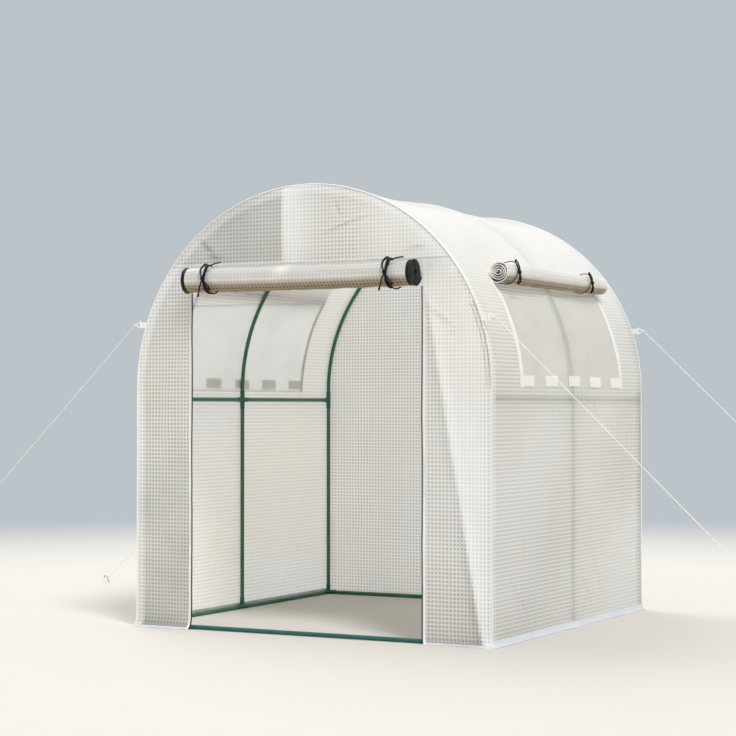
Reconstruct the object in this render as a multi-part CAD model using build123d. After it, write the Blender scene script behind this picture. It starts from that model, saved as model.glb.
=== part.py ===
from build123d import *

import os
from math import atan2, cos, degrees, radians, sin

# Walk-in polytunnel greenhouse: a reinforced film cover over a steel tube frame with three hoops.
# Millimetres. X runs along the front, Y from the doorway to the rear panel, Z up.
# It is modelled about the middle of its floor, and moved at the end so that the origin is the
# middle of everything's footprint, the door roll included.

# Whole tunnel, over the film
width = 1800.0
length = 1800.0
height = 2000.0

# Film, and the net in the side windows
film_t = 2.0
net_t = 1.0

# Steel tube and the plastic fittings that join it
tube_od = 19.0
tube_wall = 1.0
fit_clearance = 0.3
fitting_wall = 1.4
fitting_arm = 45.0
fitting_stop = 13.0
seat_gap = 0.3
purlin_drop = 50.0

# Clips that hold the ridge purlin under the hoops
clip_width = 20.0
ridge_drop = 24.0

# Doorway in the front panel
door_width = 1167.0
door_offset = -13.5
door_head_drop = 440.0
zip_width = 6.0
zip_t = 2.0
zip_start_z = 6.0

# Door rolled up and tied over the doorway
door_roll_d = 115.0
door_roll_overhang = 11.5
door_roll_shift = -11.5
door_roll_drop = 410.0
door_tie_spacing = 920.0

# Side windows, by angle round the bow from its springing, and their rolled flaps
window_width = 1200.0
window_offset = 15.0
window_top_angle = 31.0
window_roll_d = 80.0
window_roll_overhang = 13.0
window_roll_shift = 4.0
window_roll_angle = 32.7
window_tie_spacing = 880.0

# Cord ties round the rolls
tie_width = 6.0
tie_t = 2.5
knot_d = 16.0

# Hook-and-loop tabs along the foot of each window
tab_count = 5
tab_width = 135.0
tab_height = 48.0
tab_t = 1.5
tab_sill_gap = 6.0

# Guy ropes at the four corners
anchor_angle = 19.0
anchor_tab_length = 34.0
anchor_tab_height = 25.0
anchor_tab_t = 2.0
ring_wire_d = 4.0
ring_margin = 5.5
ring_depth = 26.0
ring_corner_r = 2.5
rope_d = 4.0
rope_knot_d = 9.0
rope_spread = 1430.0

# Steel pegs, of which only the part above ground is made
peg_d = 7.0
peg_lean = 20.0
peg_stub = 34.0
peg_hook_r = 10.0
rope_peg_height = 24.0

# Worked out from the sizes above
roof_r = width / 2
springing_z = height - roof_r
tube_r = tube_od / 2
fitting_bore_r = tube_r + fit_clearance
fitting_r = fitting_bore_r + fitting_wall
frame_inset = film_t + seat_gap + fitting_r
hoop_x = width / 2 - frame_inset
hoop_y = length / 2 - frame_inset
base_z = fitting_r
purlin_z = springing_z - purlin_drop
hoop_places = (-hoop_y, 0.0, hoop_y)
front_y = -length / 2
rear_y = length / 2
door_head_z = height - door_head_drop
door_roll_z = height - door_roll_drop
door_roll_r = door_roll_d / 2
door_roll_y = front_y - seat_gap - door_roll_r
door_roll_x = door_offset + door_roll_shift
door_roll_length = door_width + 2 * door_roll_overhang
window_roll_r = window_roll_d / 2
window_roll_from_axis = roof_r + seat_gap + window_roll_r
window_roll_y = window_offset + window_roll_shift
window_roll_length = window_width + 2 * window_roll_overhang
window_front_y = window_offset - window_width / 2
window_rear_y = window_offset + window_width / 2
tab_pitch = (window_width - tab_width) / (tab_count - 1)
jamb_left_x = door_offset - door_width / 2
jamb_right_x = door_offset + door_width / 2
anchor_tab_y = length / 2 - film_t / 2
anchor_eye_r = ring_wire_d / 2 + fit_clearance + anchor_tab_t
front_reach = -(door_roll_y - door_roll_r - seat_gap - tie_t - knot_d / 2)
rope_loop_r = peg_d / 2 + seat_gap + rope_d / 2
rear_reach = anchor_tab_y + max(anchor_eye_r, rope_loop_r + rope_d / 2)
footprint_middle_y = (rear_reach - front_reach) / 2


def save(node, *solids):
    """One STEP for one node, moved so that the footprint's middle is the origin."""
    placed = [Pos(0, -footprint_middle_y, 0) * solid for solid in solids]
    export_step(placed[0] if len(placed) == 1 else Compound(children=placed), f"parts/{node}.step")


def rod(start, end, radius):
    """A round bar between two points."""
    along = Vector(*end) - Vector(*start)
    plane = Plane(origin=start, z_dir=along)
    return extrude(plane * Circle(radius), along.length)


def tube(start, end):
    """A length of the frame's steel tube."""
    along = Vector(*end) - Vector(*start)
    plane = Plane(origin=start, z_dir=along)
    ring = Circle(tube_r) - Circle(tube_r - tube_wall)
    return extrude(plane * ring, along.length)


def toward(point, direction, distance):
    """The point that lies a distance from another, along a direction of unit length."""
    return tuple(p + d * distance for p, d in zip(point, direction))


def fitting(centre, directions):
    """Sockets that meet in a solid core, one for each tube end that the fitting holds."""
    body = Pos(*centre) * Sphere(fitting_r)
    for direction in directions:
        body += rod(centre, toward(centre, direction, fitting_arm), fitting_r)
    for direction in directions:
        mouth = toward(centre, direction, fitting_arm + fit_clearance)
        body -= rod(toward(centre, direction, fitting_stop), mouth, fitting_bore_r)
    return body


def frame_tube(start, end):
    """A tube between two fittings' centres, its ends up against their stops."""
    direction = (Vector(*end) - Vector(*start)).normalized()
    inset = fitting_stop + fit_clearance
    return tube(toward(start, tuple(direction), inset), toward(end, tuple(direction), -inset))


def across(y):
    """The drawing plane of an end wall or a hoop: X to the right, Z up, at one place along Y."""
    return Plane(origin=(0, y, 0), x_dir=(1, 0, 0), z_dir=(0, -1, 0))


def bow(y):
    """The bent tube of one hoop, from its left leg's fitting over to its right leg's."""
    start_z = purlin_z + fitting_stop + fit_clearance
    left = Line((-hoop_x, start_z), (-hoop_x, springing_z))
    arch = CenterArc((0, springing_z), hoop_x, 180, -180)
    right = Line((hoop_x, springing_z), (hoop_x, start_z))
    path = across(y) * (left + arch + right)
    section = Plane(origin=(-hoop_x, y, start_z), z_dir=(0, 0, 1))
    return sweep(section * (Circle(tube_r) - Circle(tube_r - tube_wall)), path=path)


def film_sector(radius, thickness, start_angle, end_angle, y_from, y_to):
    """A stretch of the curved cover, between two angles round the roof's axis."""
    centre = (0, springing_z)
    outer = CenterArc(centre, radius, start_angle, end_angle - start_angle)
    inner = CenterArc(centre, radius - thickness, start_angle, end_angle - start_angle)
    face = make_face([outer, inner, Line(outer @ 0, inner @ 0), Line(outer @ 1, inner @ 1)])
    return extrude(across(y_to) * face, y_to - y_from)


def end_wall(y_outer, inward):
    """The whole arched end of the tunnel as one sheet, before any doorway."""
    wall = Pos(0, springing_z / 2) * Rectangle(width, springing_z)
    arch = Pos(0, springing_z) * Circle(roof_r)
    above = Pos(0, springing_z + roof_r / 2) * Rectangle(width, roof_r)
    return extrude(across(y_outer) * (wall + (arch & above)), -inward * film_t)


def block(x_range, y_range, z_range):
    """A box between two corners, given side by side."""
    ranges = (x_range, y_range, z_range)
    size = [high - low for low, high in ranges]
    middle = [(high + low) / 2 for low, high in ranges]
    return Pos(*middle) * Box(*size)


def mirrored(solid):
    """The same piece on the tunnel's other side."""
    return mirror(solid, about=Plane.YZ)


def make_base():
    """Tubes on the ground, and the fittings that join them to the legs."""
    for side, x in (("left", -hoop_x), ("right", hoop_x)):
        bays = [
            frame_tube((x, y_from, base_z), (x, y_to, base_z))
            for y_from, y_to in zip(hoop_places, hoop_places[1:])
        ]
        save(f"base_rail_{side}", *bays)
    save("base_rail_rear", frame_tube((-hoop_x, hoop_y, base_z), (hoop_x, hoop_y, base_z)))
    save("door_sill_tube", frame_tube((-hoop_x, -hoop_y, base_z), (hoop_x, -hoop_y, base_z)))
    corners = [
        fitting((sx * hoop_x, sy * hoop_y, base_z), [(-sx, 0, 0), (0, -sy, 0), (0, 0, 1)])
        for sx in (-1, 1)
        for sy in (-1, 1)
    ]
    save("base_corner_fittings", *corners)
    tees = [fitting((x, 0, base_z), [(0, -1, 0), (0, 1, 0), (0, 0, 1)]) for x in (-hoop_x, hoop_x)]
    save("base_tee_fittings", *tees)


def make_hoops():
    """Three hoops, each of two straight legs and one bow."""
    for name, y in zip(("front", "middle", "rear"), hoop_places):
        legs = [frame_tube((x, y, base_z), (x, y, purlin_z)) for x in (-hoop_x, hoop_x)]
        save(f"{name}_hoop_legs", *legs)
        save(f"{name}_hoop_bow", bow(y))


def make_purlins():
    """Side purlins at the head of the legs, with their fittings, and the ridge purlin."""
    for side, x in (("left", -hoop_x), ("right", hoop_x)):
        bays = [
            frame_tube((x, y_from, purlin_z), (x, y_to, purlin_z))
            for y_from, y_to in zip(hoop_places, hoop_places[1:])
        ]
        save(f"purlin_{side}", *bays)
    tees = [
        fitting((x, sy * hoop_y, purlin_z), [(0, 0, -1), (0, 0, 1), (0, -sy, 0)])
        for x in (-hoop_x, hoop_x)
        for sy in (-1, 1)
    ]
    save("purlin_tee_fittings", *tees)
    crosses = [
        fitting((x, 0, purlin_z), [(0, 0, -1), (0, 0, 1), (0, -1, 0), (0, 1, 0)])
        for x in (-hoop_x, hoop_x)
    ]
    save("purlin_cross_fittings", *crosses)
    ridge_z = springing_z + hoop_x - ridge_drop
    ridge_end = hoop_y + fitting_r
    save("ridge_purlin", tube((0, -ridge_end, ridge_z), (0, ridge_end, ridge_z)))
    save("ridge_clips", *[ridge_clip(y, ridge_z) for y in hoop_places])


def ridge_clip(y, ridge_z):
    """A collar round the ridge purlin with a saddle that fits up under the hoop."""
    collar = rod((0, y - fitting_r, ridge_z), (0, y + fitting_r, ridge_z), fitting_r)
    post_top = springing_z + hoop_x
    post = block(
        (-clip_width / 2, clip_width / 2),
        (y - clip_width / 2, y + clip_width / 2),
        (ridge_z, post_top),
    )
    hoop_seat = Pos(0, y, springing_z) * Rot(90, 0, 0) * Torus(hoop_x, fitting_bore_r)
    bore = rod((0, y - 2 * fitting_r, ridge_z), (0, y + 2 * fitting_r, ridge_z), fitting_bore_r)
    return collar + post - hoop_seat - bore


def make_cover():
    """The main sheet: straight side walls, the haunches beside each window, and the roof."""
    inner_front = front_y + film_t
    inner_rear = rear_y - film_t
    side_wall = block((roof_r - film_t, roof_r), (inner_front, inner_rear), (0, springing_z))
    front_haunch = film_sector(roof_r, film_t, 0, window_top_angle, inner_front, window_front_y)
    rear_haunch = film_sector(roof_r, film_t, 0, window_top_angle, window_rear_y, inner_rear)
    net_r = roof_r - film_t + net_t
    net = film_sector(net_r, net_t, 0, window_top_angle, window_front_y, window_rear_y)
    for name, solid in (
        ("side_wall", side_wall),
        ("haunch_front", front_haunch),
        ("haunch_rear", rear_haunch),
        ("window_net", net),
    ):
        save(f"{name}_right", solid)
        save(f"{name}_left", mirrored(solid))
    far = 180 - window_top_angle
    save("roof_film", film_sector(roof_r, film_t, window_top_angle, far, inner_front, inner_rear))


def make_end_panels():
    """The front panel, open at the doorway, and the plain rear panel."""
    front = end_wall(front_y, 1)
    deep = (front_y - film_t, front_y + 2 * film_t)
    left = block((-roof_r, jamb_left_x), deep, (0, door_head_z))
    right = block((jamb_right_x, roof_r), deep, (0, door_head_z))
    head = block((-roof_r, roof_r), deep, (door_head_z, height))
    save("front_panel_left", front & left)
    save("front_panel_right", front & right)
    save("front_panel_head", front & head)
    save("rear_panel", end_wall(rear_y, -1))
    zip_y = (front_y - seat_gap - zip_t, front_y - seat_gap)
    zip_z = (zip_start_z, door_roll_z - door_roll_r - seat_gap)
    for side, x_from in (("left", jamb_left_x - zip_width), ("right", jamb_right_x)):
        save(f"door_zip_{side}", block((x_from, x_from + zip_width), zip_y, zip_z))


def tie_band(roll_r):
    """A tie round a roll that lies along X, open where the roll meets the cover at +Y, knotted in front."""
    inner_r = roll_r + seat_gap
    band = Rot(0, 90, 0) * (Cylinder(inner_r + tie_t, tie_width) - Cylinder(inner_r, tie_width))
    behind = block((-tie_width, tie_width), (inner_r - seat_gap, 2 * inner_r), (-inner_r, inner_r))
    knot = Pos(0, -inner_r - tie_t, 0) * Sphere(knot_d / 2)
    return (band - behind) + (knot - Rot(0, 90, 0) * Cylinder(inner_r, knot_d * 2))


def make_rolls():
    """The door and the window flaps, rolled up, with the ties that hold them."""
    x_from = door_roll_x - door_roll_length / 2
    axis_from = (x_from, door_roll_y, door_roll_z)
    axis_to = (x_from + door_roll_length, door_roll_y, door_roll_z)
    save("door_roll", rod(axis_from, axis_to, door_roll_r))
    door_ties = [
        Pos(door_roll_x + s * door_tie_spacing / 2, door_roll_y, door_roll_z) * tie_band(door_roll_r)
        for s in (-1, 1)
    ]
    save("door_roll_ties", *door_ties)
    roll_x = window_roll_from_axis * cos(radians(window_roll_angle))
    roll_z = springing_z + window_roll_from_axis * sin(radians(window_roll_angle))
    y_from = window_roll_y - window_roll_length / 2
    flap = rod((roll_x, y_from, roll_z), (roll_x, y_from + window_roll_length, roll_z), window_roll_r)
    turned = Rot(0, -window_roll_angle, 0) * Rot(0, 0, 90) * tie_band(window_roll_r)
    ties = [
        Pos(roll_x, window_roll_y + s * window_tie_spacing / 2, roll_z) * turned
        for s in (-1, 1)
    ]
    save("window_roll_right", flap)
    save("window_roll_left", mirrored(flap))
    save("window_roll_ties_right", *ties)
    save("window_roll_ties_left", *[mirrored(tie) for tie in ties])


def make_window_tabs():
    """Hook-and-loop tabs along the foot of each window, lying on the net."""
    inner_r = roof_r - film_t + net_t + seat_gap
    start_angle = degrees(tab_sill_gap / roof_r)
    end_angle = start_angle + degrees(tab_height / roof_r)
    tabs = []
    for i in range(tab_count):
        y = window_front_y + i * tab_pitch
        tabs.append(film_sector(inner_r + tab_t, tab_t, start_angle, end_angle, y, y + tab_width))
    save("window_tabs_right", *tabs)
    save("window_tabs_left", *[mirrored(tab) for tab in tabs])


def anchor_points():
    """Where the ring's straight side stands, and its point, for the front right corner."""
    edge_x = roof_r * cos(radians(anchor_angle))
    z = springing_z + roof_r * sin(radians(anchor_angle))
    eye_x = edge_x + seat_gap + anchor_tab_length
    return eye_x, eye_x + ring_depth, z


def make_guys():
    """Corner tabs, rings, ropes and pegs. Each rope runs straight out to its side of the tunnel."""
    eye_x, point_x, z = anchor_points()
    tab_y = -anchor_tab_y
    strap = block(
        (0, eye_x),
        (tab_y - anchor_tab_t / 2, tab_y + anchor_tab_t / 2),
        (z - anchor_tab_height / 2, z + anchor_tab_height / 2),
    )
    clear_of_film = Pos(0, front_y, springing_z) * Rot(90, 0, 0) * Cylinder(roof_r + seat_gap, length)
    eye_low = (eye_x, tab_y, z - anchor_tab_height / 2)
    eye_high = (eye_x, tab_y, z + anchor_tab_height / 2)
    bore_low = (eye_x, tab_y, z - anchor_tab_height)
    bore_high = (eye_x, tab_y, z + anchor_tab_height)
    tab = strap - clear_of_film + rod(eye_low, eye_high, anchor_eye_r)
    tab -= rod(bore_low, bore_high, ring_wire_d / 2 + fit_clearance)

    foot = (eye_x, z - anchor_tab_height / 2 - ring_margin)
    head = (eye_x, z + anchor_tab_height / 2 + ring_margin)
    outline = Polyline(foot, head, (point_x, z), close=True)
    loop = fillet(outline.vertices(), ring_corner_r)
    ring_path = across(tab_y) * loop
    ring_start = Plane(origin=(eye_x, tab_y, z), z_dir=(0, 0, 1))
    ring = sweep(ring_start * Circle(ring_wire_d / 2), path=ring_path)

    half_point = atan2(head[1] - z, ring_depth)
    wire_end_x = point_x - ring_corner_r * (1 / sin(half_point) - 1) + ring_wire_d / 2
    knot_x = wire_end_x + seat_gap + rope_knot_d / 2
    peg_foot_x = knot_x + rope_spread
    rope = make_rope(knot_x, z, peg_foot_x, tab_y)
    peg = make_peg(peg_foot_x, tab_y)
    corner = {"anchor_tabs": tab, "anchor_rings": ring, "guy_ropes": rope, "pegs": peg}
    for node, solid in corner.items():
        rear = mirror(solid, about=Plane.XZ)
        save(node, solid, mirrored(solid), rear, mirrored(rear))


def make_rope(knot_x, knot_z, peg_foot_x, y):
    """A taut rope: its knot at the ring, its straight run, and the loop round its peg."""
    lean = radians(peg_lean)
    grip = (peg_foot_x + rope_peg_height * sin(lean) / cos(lean), y, rope_peg_height)
    loop = Pos(*grip) * Rot(0, peg_lean, 0) * Torus(rope_loop_r, rope_d / 2)
    end = (grip[0] - rope_loop_r * cos(lean), y, grip[2] + rope_loop_r * sin(lean))
    run = rod((knot_x, y, knot_z), end, rope_d / 2)
    return run + loop + Pos(knot_x, y, knot_z) * Sphere(rope_knot_d / 2)


def make_peg(foot_x, y):
    """The head of a bent steel peg, leaning away from the tunnel, cut off level at the ground."""
    lean = radians(peg_lean)
    below = -peg_d
    up = (sin(lean), cos(lean))
    start = (below * up[0], below * up[1])
    top = (peg_stub * up[0], peg_stub * up[1])
    side = (up[1], -up[0])
    over = (top[0] + 2 * peg_hook_r * side[0], top[1] + 2 * peg_hook_r * side[1])
    crown_x = top[0] + peg_hook_r * (side[0] + up[0])
    crown_z = top[1] + peg_hook_r * (side[1] + up[1])
    path = Line(start, top) + ThreePointArc(top, (crown_x, crown_z), over)
    placed = Pos(foot_x, 0, 0) * across(y) * path
    section = Plane(origin=(foot_x + start[0], y, start[1]), z_dir=(up[0], 0, up[1]))
    peg = sweep(section * Circle(peg_d / 2), path=placed)
    under = block((foot_x - 50, foot_x + 50), (y - 50, y + 50), (-50, 0))
    return peg - under


os.makedirs("parts", exist_ok=True)
make_base()
make_hoops()
make_purlins()
make_cover()
make_end_panels()
make_rolls()
make_window_tabs()
make_guys()
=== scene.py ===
from math import asin, atan2, ceil, cos, degrees, hypot, pi, radians, sin, sqrt

import bmesh
import bpy
import numpy as np
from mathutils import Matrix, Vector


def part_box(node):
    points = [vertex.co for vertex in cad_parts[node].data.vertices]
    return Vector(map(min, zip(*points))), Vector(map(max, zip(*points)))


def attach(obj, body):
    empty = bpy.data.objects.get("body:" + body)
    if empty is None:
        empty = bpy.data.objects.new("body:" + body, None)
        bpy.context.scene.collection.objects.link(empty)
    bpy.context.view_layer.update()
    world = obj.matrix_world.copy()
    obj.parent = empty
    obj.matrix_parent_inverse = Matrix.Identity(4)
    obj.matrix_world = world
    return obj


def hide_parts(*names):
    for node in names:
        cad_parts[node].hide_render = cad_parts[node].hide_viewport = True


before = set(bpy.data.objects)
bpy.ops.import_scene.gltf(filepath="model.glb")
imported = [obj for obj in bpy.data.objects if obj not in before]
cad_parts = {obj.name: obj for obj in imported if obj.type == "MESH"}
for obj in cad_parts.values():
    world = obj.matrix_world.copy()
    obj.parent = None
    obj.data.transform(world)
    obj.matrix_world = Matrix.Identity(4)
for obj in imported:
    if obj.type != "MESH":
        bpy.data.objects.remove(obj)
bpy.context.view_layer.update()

scene = bpy.context.scene
scene.view_settings.view_transform = "Standard"

# Light crosses many sheets of film and net before it dies out.
scene.cycles.transparent_max_bounces = 24
scene.cycles.max_bounces = 24
scene.cycles.diffuse_bounces = 12
scene.cycles.transmission_bounces = 24


# Camera
# Where the photographer stood: eye height about a metre, 8.6 m from the front right corner, with a
# long lens. It was found by fitting the tunnel's straight edges, its hem lines and its front arch.
camera_place = (4.34536, -8.41151, 1.02029)
camera_turn = 28.06
camera_tilt = 1.09
lens_mm = 96.48
sensor_mm = 36.0


def put(name, data):
    """A new object in the scene."""
    thing = bpy.data.objects.new(name, data)
    scene.collection.objects.link(thing)
    return thing


lens = bpy.data.cameras.new("camera")
lens.lens = lens_mm
lens.sensor_width = sensor_mm
camera = put("camera", lens)
camera.location = camera_place
camera.rotation_euler = (radians(90 + camera_tilt), 0, radians(camera_turn))
scene.camera = camera


# Studio
# A pale floor that fades into a plain pale backdrop, a broad lamp high on the right, a softer one
# on the left, and a sky of soft light that is brightest overhead, as on a day with thin cloud.
floor_radius = 30.0
floor_sides = 96
floor_fade_from = 3.2
floor_fade_to = 9.0
floor_colour = "#c3c0ba"
backdrop_colour = "#bcc3c9"
sky_low_colour = "#a9a9a8"
sky_high_colour = "#eeeeee"
sky_bright_from = 0.9
sky_strength = 1.06

# Each lamp by its turn round the tunnel from the front, its height, its softness, all in degrees,
# and its strength.
lamps = {"key_lamp": (50.0, 50.0, 16.0, 2.4), "fill_lamp": (-116.0, 45.0, 50.0, 1.68)}


def paint(code):
    """An sRGB hex colour as the linear red, green, blue and alpha that a shader takes."""
    parts = [int(code[i : i + 2], 16) / 255 for i in (1, 3, 5)]
    return [v / 12.92 if v <= 0.04045 else ((v + 0.055) / 1.055) ** 2.4 for v in parts] + [1.0]


def add(tree, kind, inputs=None, give=0, **settings):
    """One node with its settings and inputs: each a value, a hex colour, a link or several links.

    kind is a shader node's name after "ShaderNode", or another node's whole name. give says which
    output comes back, and None stands for all of them.
    """
    node = tree.nodes.new(kind if "Node" in kind else "ShaderNode" + kind)
    for name, value in settings.items():
        setattr(node, name, value)
    for name, value in (inputs or {}).items():
        for part in value if isinstance(value, tuple) else [value]:
            if isinstance(part, bpy.types.NodeSocket):
                tree.links.new(part, node.inputs[name])
            else:
                node.inputs[name].default_value = paint(part) if isinstance(part, str) else part
    return node.outputs if give is None else node.outputs[give]


# A mix of two colours takes them as its inputs 6 and 7, and gives the result as its output 2.
blend = {"give": 2, "data_type": "RGBA"}
multiply = {"give": 2, "data_type": "RGBA", "blend_type": "MULTIPLY"}


def new_material(name):
    """An empty material and its node tree."""
    material = bpy.data.materials.new(name)
    material.use_nodes = True
    material.node_tree.nodes.clear()
    return material, material.node_tree


def end_material(tree, skin, glow=0.0, clear=0.0, **behind):
    """The last nodes: a skin, how much light comes through it, and how much is seen through it."""
    surface = add(tree, "BsdfPrincipled", skin)
    if glow:
        lit = add(tree, "BsdfTranslucent", {"Color": skin["Base Color"], **behind})
        surface = add(tree, "MixShader", {"Fac": glow, 1: surface, 2: lit})
    if clear:
        surface = add(tree, "MixShader", {"Fac": clear, 1: surface, 2: add(tree, "BsdfTransparent")})
    add(tree, "OutputMaterial", {"Surface": surface}, None)


floor_mesh = bpy.data.meshes.new("studio_floor")
shape = bmesh.new()
bmesh.ops.create_circle(shape, cap_ends=True, segments=floor_sides, radius=floor_radius)
shape.to_mesh(floor_mesh)
shape.free()
floor = put("studio_floor", floor_mesh)

floor_material, tree = new_material("studio_floor")
reach = add(tree, "VectorMath", {0: add(tree, "TexCoord", give="Object")}, "Value", operation="LENGTH")
fading = {"Value": reach, "From Min": floor_fade_from, "From Max": floor_fade_to}
fade = add(tree, "MapRange", fading, interpolation_type="SMOOTHSTEP")
matt = add(tree, "BsdfDiffuse", {"Color": floor_colour})
surface = add(tree, "MixShader", {"Fac": fade, 1: matt, 2: add(tree, "BsdfTransparent")})
add(tree, "OutputMaterial", {"Surface": surface}, None)
floor_mesh.materials.append(floor_material)

world = bpy.data.worlds.new("studio")
world.use_nodes = True
tree = world.node_tree
tree.nodes.clear()
height = add(tree, "SeparateXYZ", {"Vector": add(tree, "TexCoord", give="Generated")}, "Z")
climb = add(tree, "MapRange", {"Value": height, "From Max": sky_bright_from})
sky = add(tree, "Mix", {"Factor": climb, 6: sky_low_colour, 7: sky_high_colour}, **blend)
soft = add(tree, "Background", {"Color": sky, "Strength": sky_strength})
plain = add(tree, "Background", {"Color": backdrop_colour})
seen = add(tree, "LightPath", give="Is Camera Ray")
shown = add(tree, "MixShader", {"Fac": seen, 1: soft, 2: plain})
add(tree, "OutputWorld", {"Surface": shown}, None)
scene.world = world

for name, (turn, height, softness, strength) in lamps.items():
    lamp = bpy.data.lights.new(name, "SUN")
    lamp.energy = strength
    lamp.angle = radians(softness)
    put(name, lamp).rotation_euler = (radians(90 - height), 0, radians(turn))


# Hoops, rails and purlins
# Steel tube 19 mm across, powder coated dark green: smooth and half glossy, with a fine orange
# peel. The tubes keep the shapes that they have in the frame.
tube_dark = "#1b5437"
tube_light = "#2b7550"
sill_dark = "#134a43"
sill_light = "#1f6a60"
tube_roughness = 0.30
tube_clouds_mm = 70.0
tube_peel_mm = 1.5
tube_peel_depth = 0.0002


def coated(name, dark, light, roughness, clouds_mm, grain_mm, grain_depth, shine=0.5):
    """A coat of one colour with a slight cloudy variation and a fine grain in its gloss."""
    material, tree = new_material(name)
    place = add(tree, "TexCoord", give="Object")
    cloud = add(tree, "TexNoise", {"Vector": place, "Scale": 1000 / clouds_mm, "Detail": 4.0})
    colour = add(tree, "Mix", {"Factor": cloud, 6: dark, 7: light}, **blend)
    grain = add(tree, "TexNoise", {"Vector": place, "Scale": 1000 / grain_mm})
    bump = add(tree, "Bump", {"Height": grain, "Strength": 0.35, "Distance": grain_depth})
    worn = add(tree, "MapRange", {"Value": cloud, "To Min": roughness - 0.06, "To Max": roughness + 0.1})
    skin = {"Base Color": colour, "Roughness": worn, "Normal": bump, "Specular IOR Level": shine}
    end_material(tree, skin)
    return material


def finish_nodes(material, nodes):
    """Give CAD nodes that keep their shape the finish of the real piece."""
    for node in nodes:
        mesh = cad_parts[node].data
        mesh.materials.clear()
        mesh.materials.append(material)


tube_coat = (tube_roughness, tube_clouds_mm, tube_peel_mm, tube_peel_depth)
green_coat = coated("powder_coated_green_steel", tube_dark, tube_light, *tube_coat)
tubes = ["base_rail_left", "base_rail_right", "base_rail_rear"]
tubes += ["purlin_left", "purlin_right", "ridge_purlin"]
tubes += [f"{hoop}_hoop_{part}" for hoop in ("front", "middle", "rear") for part in ("bow", "legs")]
finish_nodes(green_coat, tubes)

# The sill tube in the doorway is from another batch, whose coat is bluer.
teal_coat = coated("powder_coated_teal_steel", sill_dark, sill_light, *tube_coat)
finish_nodes(teal_coat, ["door_sill_tube"])


# Fittings and ridge clips
# Corner sockets, tees, crosses and clips moulded in teal green polypropylene, with the low sheen
# and faint flow marks of a moulded part. The tubes push into them.
fitting_dark = "#0f4a40"
fitting_light = "#1a6254"
fitting_roughness = 0.42
fitting_marks_mm = 25.0
fitting_grain_mm = 0.8
fitting_grain_depth = 0.0001

moulding = (fitting_roughness, fitting_marks_mm, fitting_grain_mm, fitting_grain_depth)
green_plastic = coated("moulded_green_polypropylene", fitting_dark, fitting_light, *moulding)
fittings = ["base_corner_fittings", "base_tee_fittings", "purlin_cross_fittings", "purlin_tee_fittings"]
finish_nodes(green_plastic, fittings + ["ridge_clips"])


# Cover film
# One sheet of clear polyethylene, woven through with flat white threads and pulled over the hoops
# from hem to hem. It sags a little between the hoops and flares where its hem meets the ground.
film_t = 0.0006
thread_pitch = 0.0175
thread_width = 0.0066
thread_soft = 0.0046
thread_colour = "#fefefd"
crossing_colour = "#ffffff"
pane_colour = "#dedcd8"
milky_pane_colour = "#f4f3f1"
film_warm = "#fffefc"
film_cool = "#fefeff"
pane_seen_through = 0.24
thread_seen_through = 0.06
film_glow = 0.76
milky_glow = 0.50
film_roughness = 0.36
film_clouds_mm = 588.24
film_tint_mm = 909.09
film_wear_mm = 111.11
film_crinkle_mm = 26.316
film_step = 0.015
crown_sag = 0.014
wall_sag = 0.006
flare = 0.015
flare_height = 0.016
flare_reach = 0.12
held_reach = 0.05
crumple_height = 0.0011
crease_width = 0.035
crease_least = 0.013
lap_from = 0.028
lap_to = 0.048
lap_glow = 0.35
# Painted shade on the crown: where it begins and where it is full, round from the hem, and how dark it gets.
crown_from = 2.04
crown_to = 2.36
crown_shade = 0.92
window_top_angle = 28.2
window_top_slant = 3.83

wall_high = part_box("side_wall_right")[1]
half_width = wall_high.x
springing = wall_high.z
front_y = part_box("front_panel_head")[0].y
rear_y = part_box("rear_panel")[1].y
purlin_z = sum(corner.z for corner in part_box("purlin_right")) / 2
hoop_bows = ["front_hoop_bow", "middle_hoop_bow", "rear_hoop_bow"]
hoop_places = [sum(corner.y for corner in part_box(bow)) / 2 for bow in hoop_bows]
net_low, net_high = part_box("window_net_right")
window_front, window_rear = net_low.y, net_high.y
arch_run = pi * half_width
round_run = 2 * springing + arch_run


def smooth(value, low, high):
    """0 below low, 1 above high, and an even curve between them."""
    t = np.clip((value - low) / (high - low), 0, 1)
    return t * t * (3 - 2 * t)


def ripple(u, v, seed, longest, shortest, waves=14):
    """Soft uneven waves of height about 1 over a sheet, always the same for one seed."""
    pick = np.random.RandomState(seed)
    height = 0
    for _ in range(waves):
        long = longest * (shortest / longest) ** pick.rand()
        turn = pick.rand() * pi
        start = pick.rand() * 2 * pi
        height = height + long * np.sin(2 * pi * (u * cos(turn) + v * sin(turn)) / long + start)
    return height / (longest * sqrt(waves) / 2)


def fold(u, v, start, end, width):
    """A straight crease of height 1 between two places, sharp at its crest, dying out at its ends."""
    run = (end[0] - start[0], end[1] - start[1])
    long = hypot(*run)
    along = ((u - start[0]) * run[0] + (v - start[1]) * run[1]) / long**2
    off = np.abs((u - start[0]) * run[1] - (v - start[1]) * run[0]) / long
    ends = np.sin(pi * np.clip(along, 0, 1)) ** 0.5
    return ends * np.clip(1 - off / width, 0, 1) ** 1.3


def hem_flare(z):
    """How far the film stands out at a height, near the ground."""
    return flare * np.exp(-np.maximum(z, 0) / flare_height)


def near_ends(y):
    """1 at the front and -1 at the rear edge of the cover, 0 between them."""
    front = 1 - smooth(y, front_y, front_y + flare_reach)
    rear = smooth(y, rear_y - flare_reach, rear_y)
    return front - rear


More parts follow.
